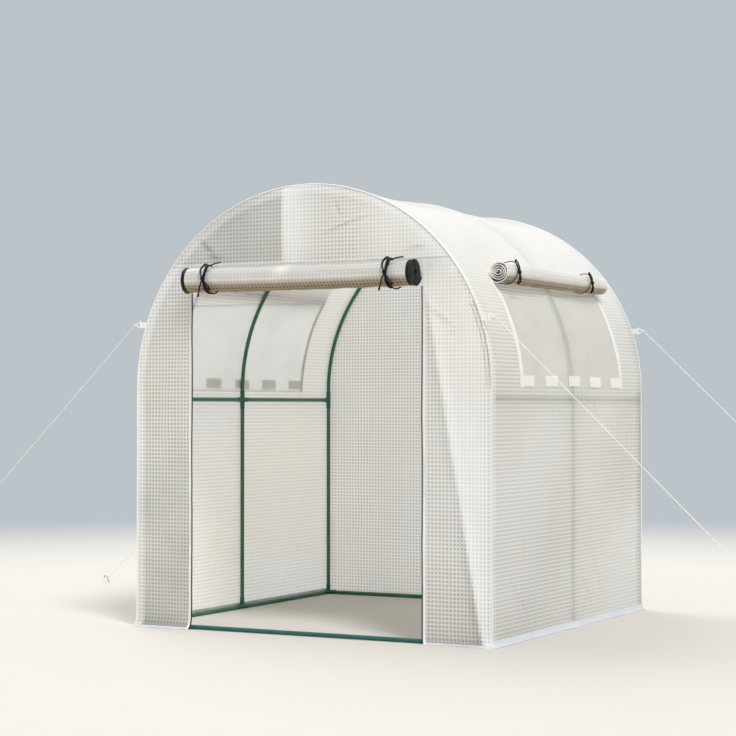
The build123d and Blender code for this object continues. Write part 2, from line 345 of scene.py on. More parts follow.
# Folds of the side walls, each by its two ends (along the tunnel, up the wall), its width and how
# far it stands out, in metres.
cover_folds = (
    ((0.340, 1.085), (0.325, 0.970), 0.012, 0.0026),
    ((0.120, 0.300), (0.300, 0.060), 0.030, 0.0040),
    ((0.300, 0.360), (0.420, 0.100), 0.028, 0.0036),
    ((-0.10, 0.220), (0.060, 0.030), 0.024, 0.0030),
    ((-0.62, 0.920), (-0.50, 0.200), 0.060, 0.0030),
    ((0.700, 0.800), (0.560, 0.120), 0.060, 0.0034),
    ((-0.70, 0.340), (-0.42, 0.050), 0.030, 0.0030),
)


def on_cover(s, y, lift=0.0):
    """Points on the cover: s runs round the tunnel from its left hem to its right one, y along it."""
    s, y = np.broadcast_arrays(np.asarray(s, float), np.asarray(y, float))
    angle = pi - np.clip(s - springing, 0, arch_run) / half_width
    z = np.where(s < springing, s, np.where(s > springing + arch_run, round_run - s, springing))
    out_x, out_z = np.cos(angle), np.sin(angle)
    x = half_width * out_x
    z = z + half_width * out_z
    bay = np.clip(np.interp(y, hoop_places, range(len(hoop_places))), 0, len(hoop_places) - 1) % 1.0
    between = 1 - np.abs(2 * bay - 1) ** 1.7
    wall = np.clip(z / purlin_z, 0, 1)
    from_purlin = np.minimum(s, round_run - s) - purlin_z
    roof = smooth(from_purlin, 0.0, 0.55) * (0.5 + 0.5 * out_z)
    sag = between * (crown_sag * roof + wall_sag * 4 * wall * (1 - wall) * (from_purlin < 0))
    held = smooth(y, front_y, front_y + held_reach) * (1 - smooth(y, rear_y - held_reach, rear_y))
    crumple = crumple_height * ripple(s, y, 5, 0.5, 0.07) * held
    side = np.where(s > round_run / 2, 1.0, -1.0)
    for start, end, width, rise in cover_folds:
        crumple = crumple + rise * fold(y * side, z, start, end, width) * held
    hem = hem_flare(z)
    hem_wave = 1 + 0.20 * ripple(y, y * 0, 9, 0.45, 0.12) * held
    out = crumple - sag + hem * hem_wave + lift
    return np.stack([x + out * out_x, y - hem * near_ends(y), z + out * out_z], -1)


def sheet_of(name, points, flat, material, thickness, keep=None, tone=0.0, lap=0.0):
    """A closed sheet from a grid of points.

    flat is each point's place on the sheet before it was hung, in metres, and becomes its UV map.
    tone is how milky the film is there: above 0 paler and less seen through, below 0 darker. It
    also carries painted highlights and painted shade. lap is 1 where the film lies double, so that
    what stands behind it doesn't show, and on the front panel where highlights are painted.
    """
    rows, columns = points.shape[:2]
    index = np.arange(rows * columns).reshape(rows, columns)
    quads = np.stack([index[:-1, :-1], index[:-1, 1:], index[1:, 1:], index[1:, :-1]], -1)
    quads = quads[np.ones((rows - 1, columns - 1), bool) if keep is None else keep]
    mesh = bpy.data.meshes.new(name)
    mesh.from_pydata(points.reshape(-1, 3).tolist(), [], quads.reshape(-1, 4).tolist())
    for layer, amounts in (("tone", tone), ("lap", lap)):
        amounts = np.broadcast_to(amounts, (rows, columns)).astype(np.float32)
        mesh.attributes.new(layer, "FLOAT", "POINT").data.foreach_set("value", amounts.ravel())
    corner = np.zeros(len(mesh.loops), np.int32)
    mesh.loops.foreach_get("vertex_index", corner)
    mesh.uv_layers.new(name="flat").data.foreach_set("uv", flat.reshape(-1, 2)[corner].ravel())
    shape = bmesh.new()
    shape.from_mesh(mesh)
    bmesh.ops.remove_doubles(shape, verts=shape.verts, dist=1e-6)
    bmesh.ops.delete(shape, geom=[v for v in shape.verts if not v.link_faces], context="VERTS")
    for edge in shape.edges:
        edge.smooth = not edge.is_boundary
    shape.to_mesh(mesh)
    shape.free()
    mesh.polygons.foreach_set("use_smooth", [True] * len(mesh.polygons))
    mesh.materials.append(material)
    piece = put(name, mesh)
    wall = piece.modifiers.new("thickness", "SOLIDIFY")
    wall.thickness = thickness
    wall.offset = -1
    return piece


def steps(*stops, step=film_step):
    """Even grid lines no further apart than a step, with a line on each stop."""
    lines = [stops[0]]
    for low, high in zip(stops, stops[1:]):
        lines += list(np.linspace(low, high, max(2, ceil((high - low) / step) + 1))[1:])
    return np.array(lines)


def ride(piece, slot, *nodes):
    """A finished piece goes with the tunnel's one body and stands for the CAD nodes that it names."""
    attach(piece, "root")
    if nodes:
        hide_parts(*nodes)


def thread_masks(tree):
    """1 in the panes between the threads, and 1 everywhere but where two threads cross."""
    sides = add(tree, "SeparateXYZ", {"Vector": add(tree, "TexCoord", give="UV")}, None)
    edges = {"From Min": (thread_width - thread_soft) / 2, "From Max": (thread_width + thread_soft) / 2}
    between = []
    for side in ("X", "Y"):
        off = add(tree, "Math", {0: sides[side], 1: thread_pitch / 2}, operation="PINGPONG")
        between.append(add(tree, "MapRange", {"Value": off, **edges}))
    both = dict(enumerate(between))
    return add(tree, "Math", both, operation="MULTIPLY"), add(tree, "Math", both, operation="MAXIMUM")


# Reinforced polyethylene film, laminated over a mesh of flat white threads. It has a matt gloss,
# lets half the light through, and shows what stands close behind its panes.
film, tree = new_material("woven_polyethylene_film")
place = add(tree, "TexCoord", give="Object")
in_pane, off_crossing = thread_masks(tree)
tone = add(tree, "Attribute", give="Fac", attribute_name="tone")
lap = add(tree, "Attribute", give="Fac", attribute_name="lap")
# Paler panes where the tone is above 0: milky film, and the painted highlights of the front panel.
milky = add(tree, "MapRange", {"Value": tone, "To Max": 0.85})

# Darker where the tone is below 0, painted shade, and in soft clouds, and darker again where it nears 2:
# painted shade on the crown.
dulled = add(tree, "MapRange", {"Value": tone, "From Min": -1.0, "From Max": 0.0, "To Min": 0.66})
cloud = add(tree, "TexNoise", {"Vector": place, "Scale": 1000 / film_clouds_mm, "Detail": 3.0})
clouded = add(tree, "MapRange", {"Value": cloud, "From Min": 0.3, "From Max": 0.7, "To Min": 0.975})
top_shade = {"Value": tone, "From Min": 1.2, "From Max": 2.0, "To Min": 1.0, "To Max": crown_shade}
level = add(tree, "Math", {0: clouded, 1: dulled}, operation="MULTIPLY")
level = add(tree, "Math", {0: level, 1: add(tree, "MapRange", top_shade)}, operation="MULTIPLY")
grey = add(tree, "CombineColor", {"Red": level, "Green": level, "Blue": level})
yarn = add(tree, "Mix", {"Factor": off_crossing, 6: crossing_colour, 7: thread_colour}, **blend)
pane = add(tree, "Mix", {"Factor": milky, 6: pane_colour, 7: milky_pane_colour}, **blend)
colour = add(tree, "Mix", {"Factor": in_pane, 6: yarn, 7: pane}, **blend)
colour = add(tree, "Mix", {"Factor": 1.0, 6: colour, 7: grey}, **multiply)
aged = add(tree, "TexNoise", {"Vector": place, "Scale": 1000 / film_tint_mm, "Detail": 2.0})
aged = add(tree, "MapRange", {"Value": aged, "From Min": 0.36, "From Max": 0.62})
tint = add(tree, "Mix", {"Factor": aged, 6: film_warm, 7: film_cool}, **blend)
colour = add(tree, "Mix", {"Factor": 1.0, 6: colour, 7: tint}, **multiply)

# The threads stand a little above the panes, and the whole film is finely crinkled.
crinkle = {"Vector": place, "Scale": 1000 / film_crinkle_mm, "Detail": 6.0, "Distortion": 1.2}
raised = {0: in_pane, 1: -0.35, 2: add(tree, "TexNoise", crinkle)}
raised = add(tree, "Math", raised, operation="MULTIPLY_ADD")
bump = add(tree, "Bump", {"Height": raised, "Strength": 0.22, "Distance": 0.0014})
worn = add(tree, "TexNoise", {"Vector": place, "Scale": 1000 / film_wear_mm, "Detail": 5.0})
gloss = {"Value": worn, "To Min": film_roughness - 0.1, "To Max": film_roughness + 0.1}
skin = {"Base Color": colour, "Roughness": add(tree, "MapRange", gloss), "Normal": bump}

# Less light comes through where the film is milky, and less again where it lies double. There
# nothing is seen through it either.
glow = add(tree, "MapRange", {"Value": milky, "To Min": film_glow, "To Max": milky_glow})
thicker = add(tree, "MapRange", {"Value": lap, "To Min": 1.0, "To Max": lap_glow})
glow = add(tree, "Math", {0: glow, 1: thicker}, operation="MULTIPLY")
clear_by = {"Value": milky, "To Min": pane_seen_through, "To Max": thread_seen_through}
clear_by = {"Value": in_pane, "To Min": thread_seen_through, "To Max": add(tree, "MapRange", clear_by)}
single = add(tree, "MapRange", {"Value": lap, "To Min": 1.0, "To Max": 0.0})
clear_by = add(tree, "Math", {0: add(tree, "MapRange", clear_by), 1: single}, operation="MULTIPLY")
end_material(tree, skin, glow, clear_by, Normal=bump)


def crease_shade(u, v, folds, depth):
    """Painted shade: the dark lines, by depth in tone, along the sharper folds of a sheet."""
    dark = 0
    for start, end, width, _ in folds:
        if width < crease_width:
            dark = dark + depth * fold(u, v, start, end, max(0.6 * width, crease_least))
    return dark


def lapped(inset):
    """1 at an edge where two sheets lap, and 0 further in."""
    return 1 - smooth(inset, lap_from, lap_to)


def cover_tone(s, y):
    """Milky over the roof, and more so on the left, duller down the rear seam, with painted shade on the
    crown and along the creases.
    """
    up = np.minimum(s, round_run - s)
    right = s > round_run / 2
    roof = 0.60 * smooth(up, 1.25, 1.75)
    left_wall = 0.32 * ~right * (1 - smooth(up, 1.7, 2.0))
    crown = 1.2 * smooth(up, crown_from, crown_to)
    rear_seam = smooth(y, rear_y - 0.075, rear_y - 0.065) * (1 - smooth(y, rear_y - 0.01, rear_y))
    rear_seam = -0.35 * rear_seam * (up < springing)
    above_net = smooth(up, 1.50, 1.53) * (1 - smooth(up, 1.60, 1.64))
    above_net = -0.50 * above_net * (y > window_front) * (y < window_rear)
    right_foot = right * (1 - smooth(up, 0.35, 0.75)) * (-0.30 + 0.50 * smooth(y, -0.20, 0.45))
    front_lap = -0.5 * lapped(y - front_y)
    uneven = 0.08 * ripple(s, y, 41, 0.9, 0.2) - crease_shade(np.where(right, y, -y), up, cover_folds, 0.35)
    return 0.42 + roof + left_wall + crown + rear_seam + above_net + right_foot + front_lap + uneven


window_run = radians(window_top_angle) * half_width
window_middle = (window_front + window_rear) / 2
window_slant = radians(window_top_slant) * half_width


def window_top(y):
    """How far up the haunch a window reaches. It was cut a little askew, higher at the rear."""
    return springing + window_run + window_slant * (y - window_middle)


def slanted(up, y):
    """Move a grid line up or down, so that the line of the window's top follows its slant."""
    near = 1 - np.clip(np.abs(up - springing - window_run) / window_run, 0, 1)
    return up + near * window_slant * (y - window_middle)


up_stop = springing + window_run
round_lines = steps(0, springing, up_stop, round_run - up_stop, round_run - springing, round_run)
along_lines = steps(front_y, window_front, window_rear, rear_y)
s_grid, y_grid = np.meshgrid(round_lines, along_lines, indexing="ij")
s_middle = (round_lines[1:] + round_lines[:-1])[:, None] / 2
y_middle = (along_lines[1:] + along_lines[:-1])[None, :] / 2
up_middle = np.minimum(s_middle, round_run - s_middle)
in_window = (up_middle > springing) & (up_middle < up_stop)
in_window = in_window & (y_middle > window_front) & (y_middle < window_rear)
up_grid = slanted(np.minimum(s_grid, round_run - s_grid), y_grid)
s_grid = np.where(s_grid > round_run / 2, round_run - up_grid, up_grid)
cover = sheet_of(
    "cover",
    on_cover(s_grid, y_grid),
    np.stack([y_grid - front_y, s_grid], -1),
    film,
    film_t,
    keep=~in_window,
    tone=cover_tone(s_grid, y_grid),
    lap=lapped(y_grid - front_y),
)
haunches = [f"haunch_{end}_{side}" for end in ("front", "rear") for side in ("left", "right")]
ride(cover, "cover_film", "side_wall_left", "side_wall_right", "roof_film", *haunches)


# Front panel
# A flat arched panel of the same film, sewn to the cover round its edge, with the doorway cut out
# of it. Folds run across it where it was packed, and it is pulled tight over the front hoop.
jamb_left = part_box("front_panel_left")[1].x
jamb_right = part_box("front_panel_right")[0].x
door_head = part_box("front_panel_head")[0].z
door_seam_z = 1.66
# Share of doubled film, less seen through and less lit through, where highlights are painted on the front
# panel.
highlight_lap = 0.55
end_loose = 0.09
end_bulge = 0.0010
end_crumple = 0.0013
panel_step = 0.011
arch_step = radians(0.7)
front_columns = (28, 104, 31)

# Folds of the front panel, each by its two ends (across, up), its width and its rise, in metres.
front_folds = (
    ((0.085, 1.783), (0.330, 1.862), 0.014, 0.0060),
    ((0.150, 1.935), (0.178, 1.850), 0.012, 0.0026),
    ((0.486, 1.699), (0.600, 1.716), 0.014, 0.0030),
    ((0.590, 1.520), (0.730, 0.730), 0.050, 0.0075),
    ((0.690, 0.950), (0.857, 0.000), 0.050, 0.0060),
    ((0.580, 1.470), (0.740, 1.350), 0.024, 0.0036),
    ((0.700, 1.345), (0.735, 1.325), 0.010, 0.0030),
    ((0.645, 1.300), (0.670, 1.290), 0.008, 0.0026),
    ((-0.118, 1.99), (-0.118, 1.64), 0.090, 0.0080),
    ((-0.560, 1.78), (-0.470, 1.70), 0.026, 0.0040),
    ((-0.520, 1.70), (-0.430, 1.685), 0.018, 0.0036),
    ((-0.640, 1.26), (-0.820, 0.70), 0.060, 0.0040),
)


def half_across(z):
    """Half the width of an end panel at a height."""
    up = np.clip(z - springing, 0, half_width)
    return np.sqrt(np.maximum(half_width**2 - up**2, 0))


def on_end(across, z, lift, y_face, outward, folds, seed):
    """Points on an end panel. across is a real width, and outward is -1 at the front, 1 at the rear."""
    across, z = np.broadcast_arrays(np.asarray(across, float), np.asarray(z, float))
    edge = np.maximum(half_across(z) - np.abs(across), 0)
    loose = smooth(edge, 0, end_loose)
    out = end_bulge + end_crumple * ripple(across, z, seed, 0.5, 0.08)
    for start, end, width, rise in folds:
        out = out + rise * fold(across, z, start, end, width)
    hem = hem_flare(z)
    wave = 1 + 0.35 * ripple(across, across * 0, seed + 1, 0.4, 0.12) * loose
    x = across * (1 + hem / half_width)
    y = y_face + outward * (np.maximum(out, 0) * loose + hem * wave + lift)
    return np.stack([x, y, z], -1)


def on_front(across, z, lift=0.0):
    """Points on the front panel."""
    return on_end(across, z, lift, front_y, -1, front_folds, 21)


def highlight_strip(across, z):
    """How much of the strip right of the door takes its painted highlight, and how much painted shade lies
    along its long fold, from 0 to 1.
    """
    fold_line = 0.603 + 0.175 * (1.45 - z)
    slack_line = 1.473 - 0.714 * (across - 0.568)
    under_slack = smooth(slack_line, z - 0.01, z + 0.03)
    highlit = smooth(across, fold_line - 0.006, fold_line + 0.008)
    return highlit, np.exp(-(((across - fold_line + 0.014) / 0.018) ** 2)) * under_slack


def front_light_and_shade(across, z):
    """Painted light and shade of the front panel. The fold lines bound painted highlights, on pale
    film, and darker film that shows its threads; shade is painted along the folds, at the right corner
    and towards the foot, and light is painted under the door seam, over the roll's shadow.
    """
    left, right = across < 0, across > 0
    # Painted highlights in a band of the lunette and at its right, and painted shade at its left.
    lunette = -0.34 + 1.24 * smooth(across, -0.127, -0.113) - 0.50 * smooth(across, -0.06, 0.12)
    lunette = lunette + 0.60 * smooth(across, 0.20, 0.45)
    highlit, shaded = highlight_strip(across, z)
    right_corner = right * (1 - smooth(half_across(z) - across, 0.018, 0.048))
    right_foot = right * (1 - smooth(z, 0.15, 0.90)) * (1 - highlit)
    left_strip = left * (0.32 - 0.42 * (1 - smooth(z, 0.50, 0.95)))
    strips = -0.20 + 0.66 * right + 0.42 * highlit - 0.22 * shaded + left_strip
    strips = strips - 0.52 * right_foot - 0.7 * right_corner * highlit
    above = smooth(z, 1.60, 1.62)
    # Painted light under the door seam, over the shadow of the roll.
    under_seam = 0.55 * smooth(z, 1.58, 1.60) * (z < door_seam_z)
    uneven = 0.08 * ripple(across, z, 43, 0.7, 0.15) - crease_shade(across, z, front_folds, 0.9)
    return lunette * above + strips * (1 - above) + under_seam + uneven


def highlight_zones(across, z):
    """1 where highlights are painted on the panel: right of the long fold, and in two places of the lunette.
    """
    lunette = smooth(across, -0.125, -0.113) * (1 - smooth(across, -0.06, 0.06)) + smooth(across, 0.18, 0.45)
    strip = highlight_strip(across, z)[0] * (across > 0)
    return np.where(z > door_seam_z - 0.02, lunette, strip)


head_angle = asin((door_head - springing) / half_width)
wall_rows = steps(0, springing, step=panel_step)
haunch_rows = springing + half_width * np.sin(steps(0, head_angle, step=arch_step))[1:]
crown_rows = springing + half_width * np.sin(steps(head_angle, pi / 2, step=arch_step))[1:]
panel_rows = np.concatenate([wall_rows, haunch_rows, crown_rows])


def panel_grid(stops):
    """Grid of widths and heights. Above the door head every column draws in with the arch."""
    widths = []
    for z in panel_rows:
        half = float(half_across(z))
        at_head = float(half_across(min(z, door_head)))
        row = [np.linspace(low, high, count) for low, high, count in stops(at_head)]
        widths.append(np.concatenate(row) * half / at_head)
    return np.stack(widths), np.repeat(panel_rows[:, None], len(widths[0]), 1)


def front_stops(half):
    """The strip left of the door, the doorway and the strip right of it."""
    hair = 1e-9
    ends = ((-half, jamb_left), (jamb_left + hair, jamb_right - hair), (jamb_right, half))
    return [(*span, count) for span, count in zip(ends, front_columns)]


x_grid, z_grid = panel_grid(front_stops)
z_middle = (z_grid[1:, 1:] + z_grid[:-1, :-1]) / 2
x_middle = (x_grid[:-1, 1:] + x_grid[:-1, :-1]) / 2
in_doorway = (z_middle < door_head) & (x_middle > jamb_left) & (x_middle < jamb_right)
front_lap = lapped(half_width - np.hypot(x_grid, np.maximum(z_grid - springing, 0)))
front_panel = sheet_of(
    "front_panel",
    on_front(x_grid, z_grid),
    np.stack([x_grid, z_grid], -1),
    film,
    film_t,
    keep=~in_doorway,
    tone=front_light_and_shade(x_grid, z_grid),
    lap=np.maximum(front_lap, highlight_lap * highlight_zones(x_grid, z_grid)),
)
ride(front_panel, "cover_film", "front_panel_left", "front_panel_right", "front_panel_head")


# Rear panel
# The far end of the tunnel: the same arched panel with no doorway, sewn in all round. It bulges a
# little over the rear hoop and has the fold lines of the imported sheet.
rear_columns = 121
rear_folds = (
    ((-0.50, 1.60), (-0.20, 1.10), 0.05, 0.0050),
    ((0.30, 1.50), (0.55, 1.20), 0.04, 0.0040),
    ((0.10, 0.70), (0.50, 0.20), 0.06, 0.0050),
    ((-0.70, 0.60), (-0.40, 0.15), 0.05, 0.0040),
)


def on_rear(across, z, lift=0.0):
    """Points on the rear panel."""
    return on_end(across, z, lift, rear_y, 1, rear_folds, 33)


def rear_stops(half):
    """One run of columns, from right to left, so that the faces point outwards."""
    return [(half, -half, rear_columns)]


x_grid, z_grid = panel_grid(rear_stops)
rear_tone = 0.28 + 0.15 * ripple(x_grid, z_grid, 47, 0.8, 0.2)
rear_film = sheet_of(
    "rear_film", on_rear(x_grid, z_grid), np.stack([x_grid, z_grid], -1), film, film_t, tone=rear_tone
)
ride(rear_film, "cover_film", "rear_panel")


# Hems
# The film's lower edge is turned up and welded all round, so that it is two layers thick: a pale
# blue-white band with no threads to be seen.
hem_height = 0.030
end_hem_height = 0.010
hem_foot = 0.001
hem_end = 0.004
hem_from_jamb = 0.016
hem_t = 0.0012
hem_lift = 0.0014
hem_colour = "#edeff2"
hem_shade = "#dfe4ea"
cloth_clouds_mm = 45.455


def cloth(name, light, dark, roughness, rib_mm, glow, weave_depth=0.0003, shine=0.5):
    """Plain woven cloth or tape, its two colours in a cloudy mix, with crossing ribs in its bump."""
    material, tree = new_material(name)
    place, flat = (add(tree, "TexCoord", give=kind) for kind in ("Object", "UV"))
    cloud = add(tree, "TexNoise", {"Vector": place, "Scale": 1000 / cloth_clouds_mm, "Detail": 5.0})
    # At a scale of 1 the texture's ribs lie a tenth of pi apart.
    rib = {"Vector": flat, "Scale": 100 * pi / rib_mm}
    ribs = [add(tree, "TexWave", rib, "Fac", bands_direction=way) for way in ("X", "Y")]
    weave = add(tree, "Math", dict(enumerate(ribs)), operation="MULTIPLY")
    shade = add(tree, "Math", {0: weave, 1: 0.35, 2: cloud}, operation="MULTIPLY_ADD", use_clamp=True)
    colour = add(tree, "Mix", {"Factor": shade, 6: dark, 7: light}, **blend)
    bump = add(tree, "Bump", {"Height": weave, "Strength": 0.5, "Distance": weave_depth})
    skin = {"Base Color": colour, "Roughness": roughness, "Normal": bump, "Specular IOR Level": shine}
    end_material(tree, skin, glow)
    return material


# Film folded on itself and welded: smoother and whiter than one layer, still a little lit through.
welded_film = cloth("welded_double_film", hem_colour, hem_shade, 0.4, 2.5133, 0.35)

seam_lines = []


def band(surface, u, v, name, material, thickness, lift=None):
    """A band of cloth on a surface, from a row of places across it and a row along it."""
    u_grid, v_grid = np.meshgrid(u, v, indexing="ij")
    points = surface(u_grid, v_grid, thickness if lift is None else lift)
    return sheet_of(name, points, np.stack([u_grid, v_grid], -1), material, thickness, tone=0.5)


def seam_along(surface, u, v, lift):
    """Remember a line of stitches on a surface."""
    seam_lines.append(surface(u, v, lift).reshape(-1, 3))


def up_front(z, across, lift):
    """Points on the front panel, as rows of one height."""
    return on_front(across, z, lift)


def up_rear(z, across, lift):
    """Points on the rear panel, as rows of one height, from right to left."""
    return on_rear(-across, z, lift)


wall_hem = np.linspace(hem_foot, hem_height, 5)
end_hem = np.linspace(hem_foot, end_hem_height, 5)
wall_run = steps(front_y + hem_end, rear_y - hem_end)
half_hem = half_width - hem_end
hems = [
    ("hem_left", on_cover, wall_hem, wall_run),
    ("hem_right", on_cover, (round_run - wall_hem)[::-1], wall_run),
    ("hem_front_left", up_front, end_hem, steps(-half_hem, jamb_left - hem_from_jamb)),
    ("hem_front_right", up_front, end_hem, steps(jamb_right + hem_from_jamb, half_hem)),
    ("hem_rear", up_rear, end_hem, steps(-half_hem, half_hem)),
]
for name, surface, across, run in hems:
    ride(band(surface, across, run, name, welded_film, hem_t, hem_lift), "cover_film")
    top = across[np.argmax(surface(across, run[0], 0.0)[:, 2])]
    seam_along(surface, top, run, hem_lift)


# Corner bindings
# Where the end panels meet the cover, the three edges are bound together in a folded white strip
# that makes a raised bead round each arch and down each corner.
bead_radius = 0.0026
bead_sides = 8
bead_out = 0.0006
bead_foot = 0.0032
bead_seam_in = 0.011
bead_colour = "#ffffff"
bead_shade = "#f4f3f0"


def path_object(paths):
    """Lines through points, as loose edges for a tree of nodes to build on."""
    points, edges = [], []
    for path in paths:
        start = len(points)
        points += [tuple(point) for point in path]
        edges += [(start + i, start + i + 1) for i in range(len(path) - 1)]
    mesh = bpy.data.meshes.new("path")
    mesh.from_pydata(points, edges, [])
    return put("path", mesh)


def plain_piece(maker, name):
    """What a curve or a modifier has made, as a plain mesh in place of its maker."""
    evaluated = maker.evaluated_get(bpy.context.evaluated_depsgraph_get())
    mesh = bpy.data.meshes.new_from_object(evaluated)
    mesh.name = name
    bpy.data.objects.remove(maker)
    return put(name, mesh)


def new_build(name, sizes):
    """An empty tree of geometry nodes with its named inputs."""
    tree = bpy.data.node_groups.new(name, "GeometryNodeTree")
    kinds = {"Path": "Geometry", **dict.fromkeys(sizes, "Float"), "Finish": "Material"}
    for title, kind in kinds.items():
        tree.interface.new_socket(title, in_out="INPUT", socket_type=f"NodeSocket{kind}")
    tree.interface.new_socket("Result", in_out="OUTPUT", socket_type="NodeSocketGeometry")
    return tree, add(tree, "NodeGroupInput", give=None)


def end_build(tree, made, finish):
    """The last nodes of a tree: real copies, smooth faces and the finish."""
    real = add(tree, "GeometryNodeRealizeInstances", {"Geometry": made})
    even = add(tree, "GeometryNodeSetShadeSmooth", {"Geometry": real})
    done = add(tree, "GeometryNodeSetMaterial", {"Geometry": even, "Material": finish})
    add(tree, "NodeGroupOutput", {"Result": done}, None)


def build_on(name, paths, tree, sizes, material):
    """Run a tree on paths and keep its result as a plain mesh."""
    base = path_object(paths)
    maker = base.modifiers.new("make", "NODES")
    maker.node_group = tree
    values = {**sizes, "Finish": material}
    for item in tree.interface.items_tree:
        if item.in_out == "INPUT" and item.name in values:
            maker[item.identifier] = values[item.name]
    return plain_piece(base, name)


bead_tree, given = new_build("bead_along_path", ["Radius", "Sides"])
line = add(bead_tree, "GeometryNodeMeshToCurve", {"Mesh": given["Path"]})
ring = {"Resolution": given["Sides"], "Radius": given["Radius"]}
ring = add(bead_tree, "GeometryNodeCurvePrimitiveCircle", ring)
tube = {"Curve": line, "Profile Curve": ring, "Fill Caps": True}
end_build(bead_tree, add(bead_tree, "GeometryNodeCurveToMesh", tube), given["Finish"])

binding = cloth("woven_white_binding", bead_colour, bead_shade, 0.55, 1.885, 0.3)
round_path = steps(bead_foot, springing, round_run - springing, round_run - bead_foot)
for name, y, outward in (("binding_front", front_y, -1), ("binding_rear", rear_y, 1)):
    corner = on_cover(round_path, y, bead_out)
    corner[:, 1] += outward * bead_out
    bead = build_on(name, [corner], bead_tree, {"Radius": bead_radius, "Sides": bead_sides}, binding)
    ride(bead, "cover_film")
    seam_along(on_cover, round_path, y - outward * bead_seam_in, bead_out)


# Seam over the door
# The rolled door hangs from a seam that runs from edge to edge of the front arch, folded over and
# stitched twice. One row of its stitches is drawn in grey: a painted shadow line along the fold.
door_seam_height = 0.007
door_seam_end = 0.006
door_seam_t = 0.0010
seam_thread_lift = 0.0004
seam_shadow_dark = "#6d6b67"
seam_shadow_light = "#8a8883"
bit_sizes = ("Pitch", "Length", "Width", "Depth")
seam_stitch = (0.009, 0.0080, 0.0020, 0.0012)

# Small rounded bits set along a line, at a pitch, for stitches and for the teeth of a zip.
bits_tree, given = new_build("bits_along_path", bit_sizes)
line = add(bits_tree, "GeometryNodeMeshToCurve", {"Mesh": given["Path"]})
spaced = {"Curve": line, "Length": given["Pitch"]}
spaced = add(bits_tree, "GeometryNodeResampleCurve", spaced, mode="LENGTH")
facing = {"Vector": add(bits_tree, "GeometryNodeInputTangent")}
facing = add(bits_tree, "FunctionNodeAlignRotationToVector", facing, axis="X")
size = {"X": given["Length"], "Y": given["Width"], "Z": given["Depth"]}
size = add(bits_tree, "CombineXYZ", size)
bit = add(bits_tree, "GeometryNodeMeshIcoSphere", {"Radius": 0.5, "Subdivisions": 1})
spread = {"Points": spaced, "Instance": bit, "Rotation": facing, "Scale": size}
spread = add(bits_tree, "GeometryNodeInstanceOnPoints", spread)
end_build(bits_tree, spread, given["Finish"])


def bits_along(name, rows, sizes, material, slot):
    """Stitches or teeth along rows of points, sized by their pitch, length, width and depth."""
    ride(build_on(name, rows, bits_tree, dict(zip(bit_sizes, sizes)), material), slot)


def polyester_thread(name, dark, light, roughness):
    """Lockstitched polyester thread: soft, with the faint grain of its twist."""
    return coated(name, dark, light, roughness, 6.0, 0.8, 0.0001)


seam_half = float(half_across(door_seam_z)) - door_seam_end
across = steps(-seam_half, seam_half)
rows = np.linspace(door_seam_z - door_seam_height, door_seam_z, 3)
ride(band(up_front, rows, across, "door_seam", binding, door_seam_t), "cover_film")
# Grey stitches: a painted shadow line along the seam's fold.
seam_shadow_thread = polyester_thread("seam_shadow_polyester_thread", seam_shadow_dark, seam_shadow_light, 0.6)
seam_row = on_front(across, rows[1], door_seam_t + seam_thread_lift)
bits_along("door_seam_stitches", [seam_row], seam_stitch, seam_shadow_thread, "cover_film")


# Jamb bindings and door zips
# Each side of the doorway is bound in white tape. Beside it, at the opening's edge, runs one half
# of a black nylon zip: its woven tape and the row of its coil.
jamb_tape_width = 0.012
jamb_tape_gap = 0.0004
jamb_tape_foot = 0.001
jamb_tape_t = 0.0010
zip_t = 0.0012
coil_lift = 0.0006
coil_tooth = (0.0042, 0.0026, 0.0034, 0.0022)
zip_black = "#0e0e10"
zip_grey = "#1a1a1d"
coil_grey = "#3c3c41"

zip_tape = cloth("woven_black_zip_tape", zip_grey, zip_black, 0.6, 1.5708, 0.0, shine=0.22)
nylon_coil = coated("black_nylon_coil", zip_grey, coil_grey, 0.30, 8.0, 0.6, 0.0001)
for side, outward in (("left", -1), ("right", 1)):
    low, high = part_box(f"door_zip_{side}")
    z_run = steps(low.z, high.z)
    zip_across = np.linspace(low.x, high.x, 3)[::-1]
    strip = band(on_front, zip_across, z_run, f"zip_tape_{side}", zip_tape, zip_t)
    ride(strip, "zip_tape", f"door_zip_{side}")
    coil_line = on_front(zip_across[1], z_run, zip_t + coil_lift)
    bits_along(f"zip_coil_{side}", [coil_line], coil_tooth, nylon_coil, "zip_tape")
    tape_from = (high.x if outward > 0 else low.x) + outward * jamb_tape_gap
    tape_across = np.sort(np.linspace(tape_from, tape_from + outward * jamb_tape_width, 4))[::-1]
    z_tape = steps(jamb_tape_foot, door_seam_z - door_seam_height)
    tape = band(on_front, tape_across, z_tape, f"jamb_binding_{side}", binding, jamb_tape_t)
    ride(tape, "cover_film")
    for across in tape_across[2:0:-1]:
        seam_along(on_front, across, z_tape[1:], jamb_tape_t)


# Rolled door
# The door is a sheet of the same film, with black zip tape sewn down both sides. It hangs from the
# seam and is rolled up outwards, round itself, over the doorway.
roll_film_t = 0.0012
roll_segments = 36
roll_step = 0.02
roll_slack = 0.0016
roll_droop = 0.003
roll_crinkle_mm = 22.222
tie_pinch = 0.0022
tie_pinch_reach = 0.016
rim_reach = 0.012
rim_swell = 0.0012
rim_slide = 0.0015
seam_tuck = 0.004
# How far a painted highlight on the top of a roll reaches along it.
highlight_reach = 0.035
door_turn_pitch = 0.0064
door_core_radius = 0.010
door_swell = 0.0022
door_insets = (0.030, 0.002)
door_tape_widths = (0.018, 0.020)
door_ties = (-0.475, 0.445)
# Where along the door roll a highlight is painted on its top.
door_highlight_at = -0.07
roll_light_thread = "#f8f6f3"
roll_light_pane = "#e8e4dd"
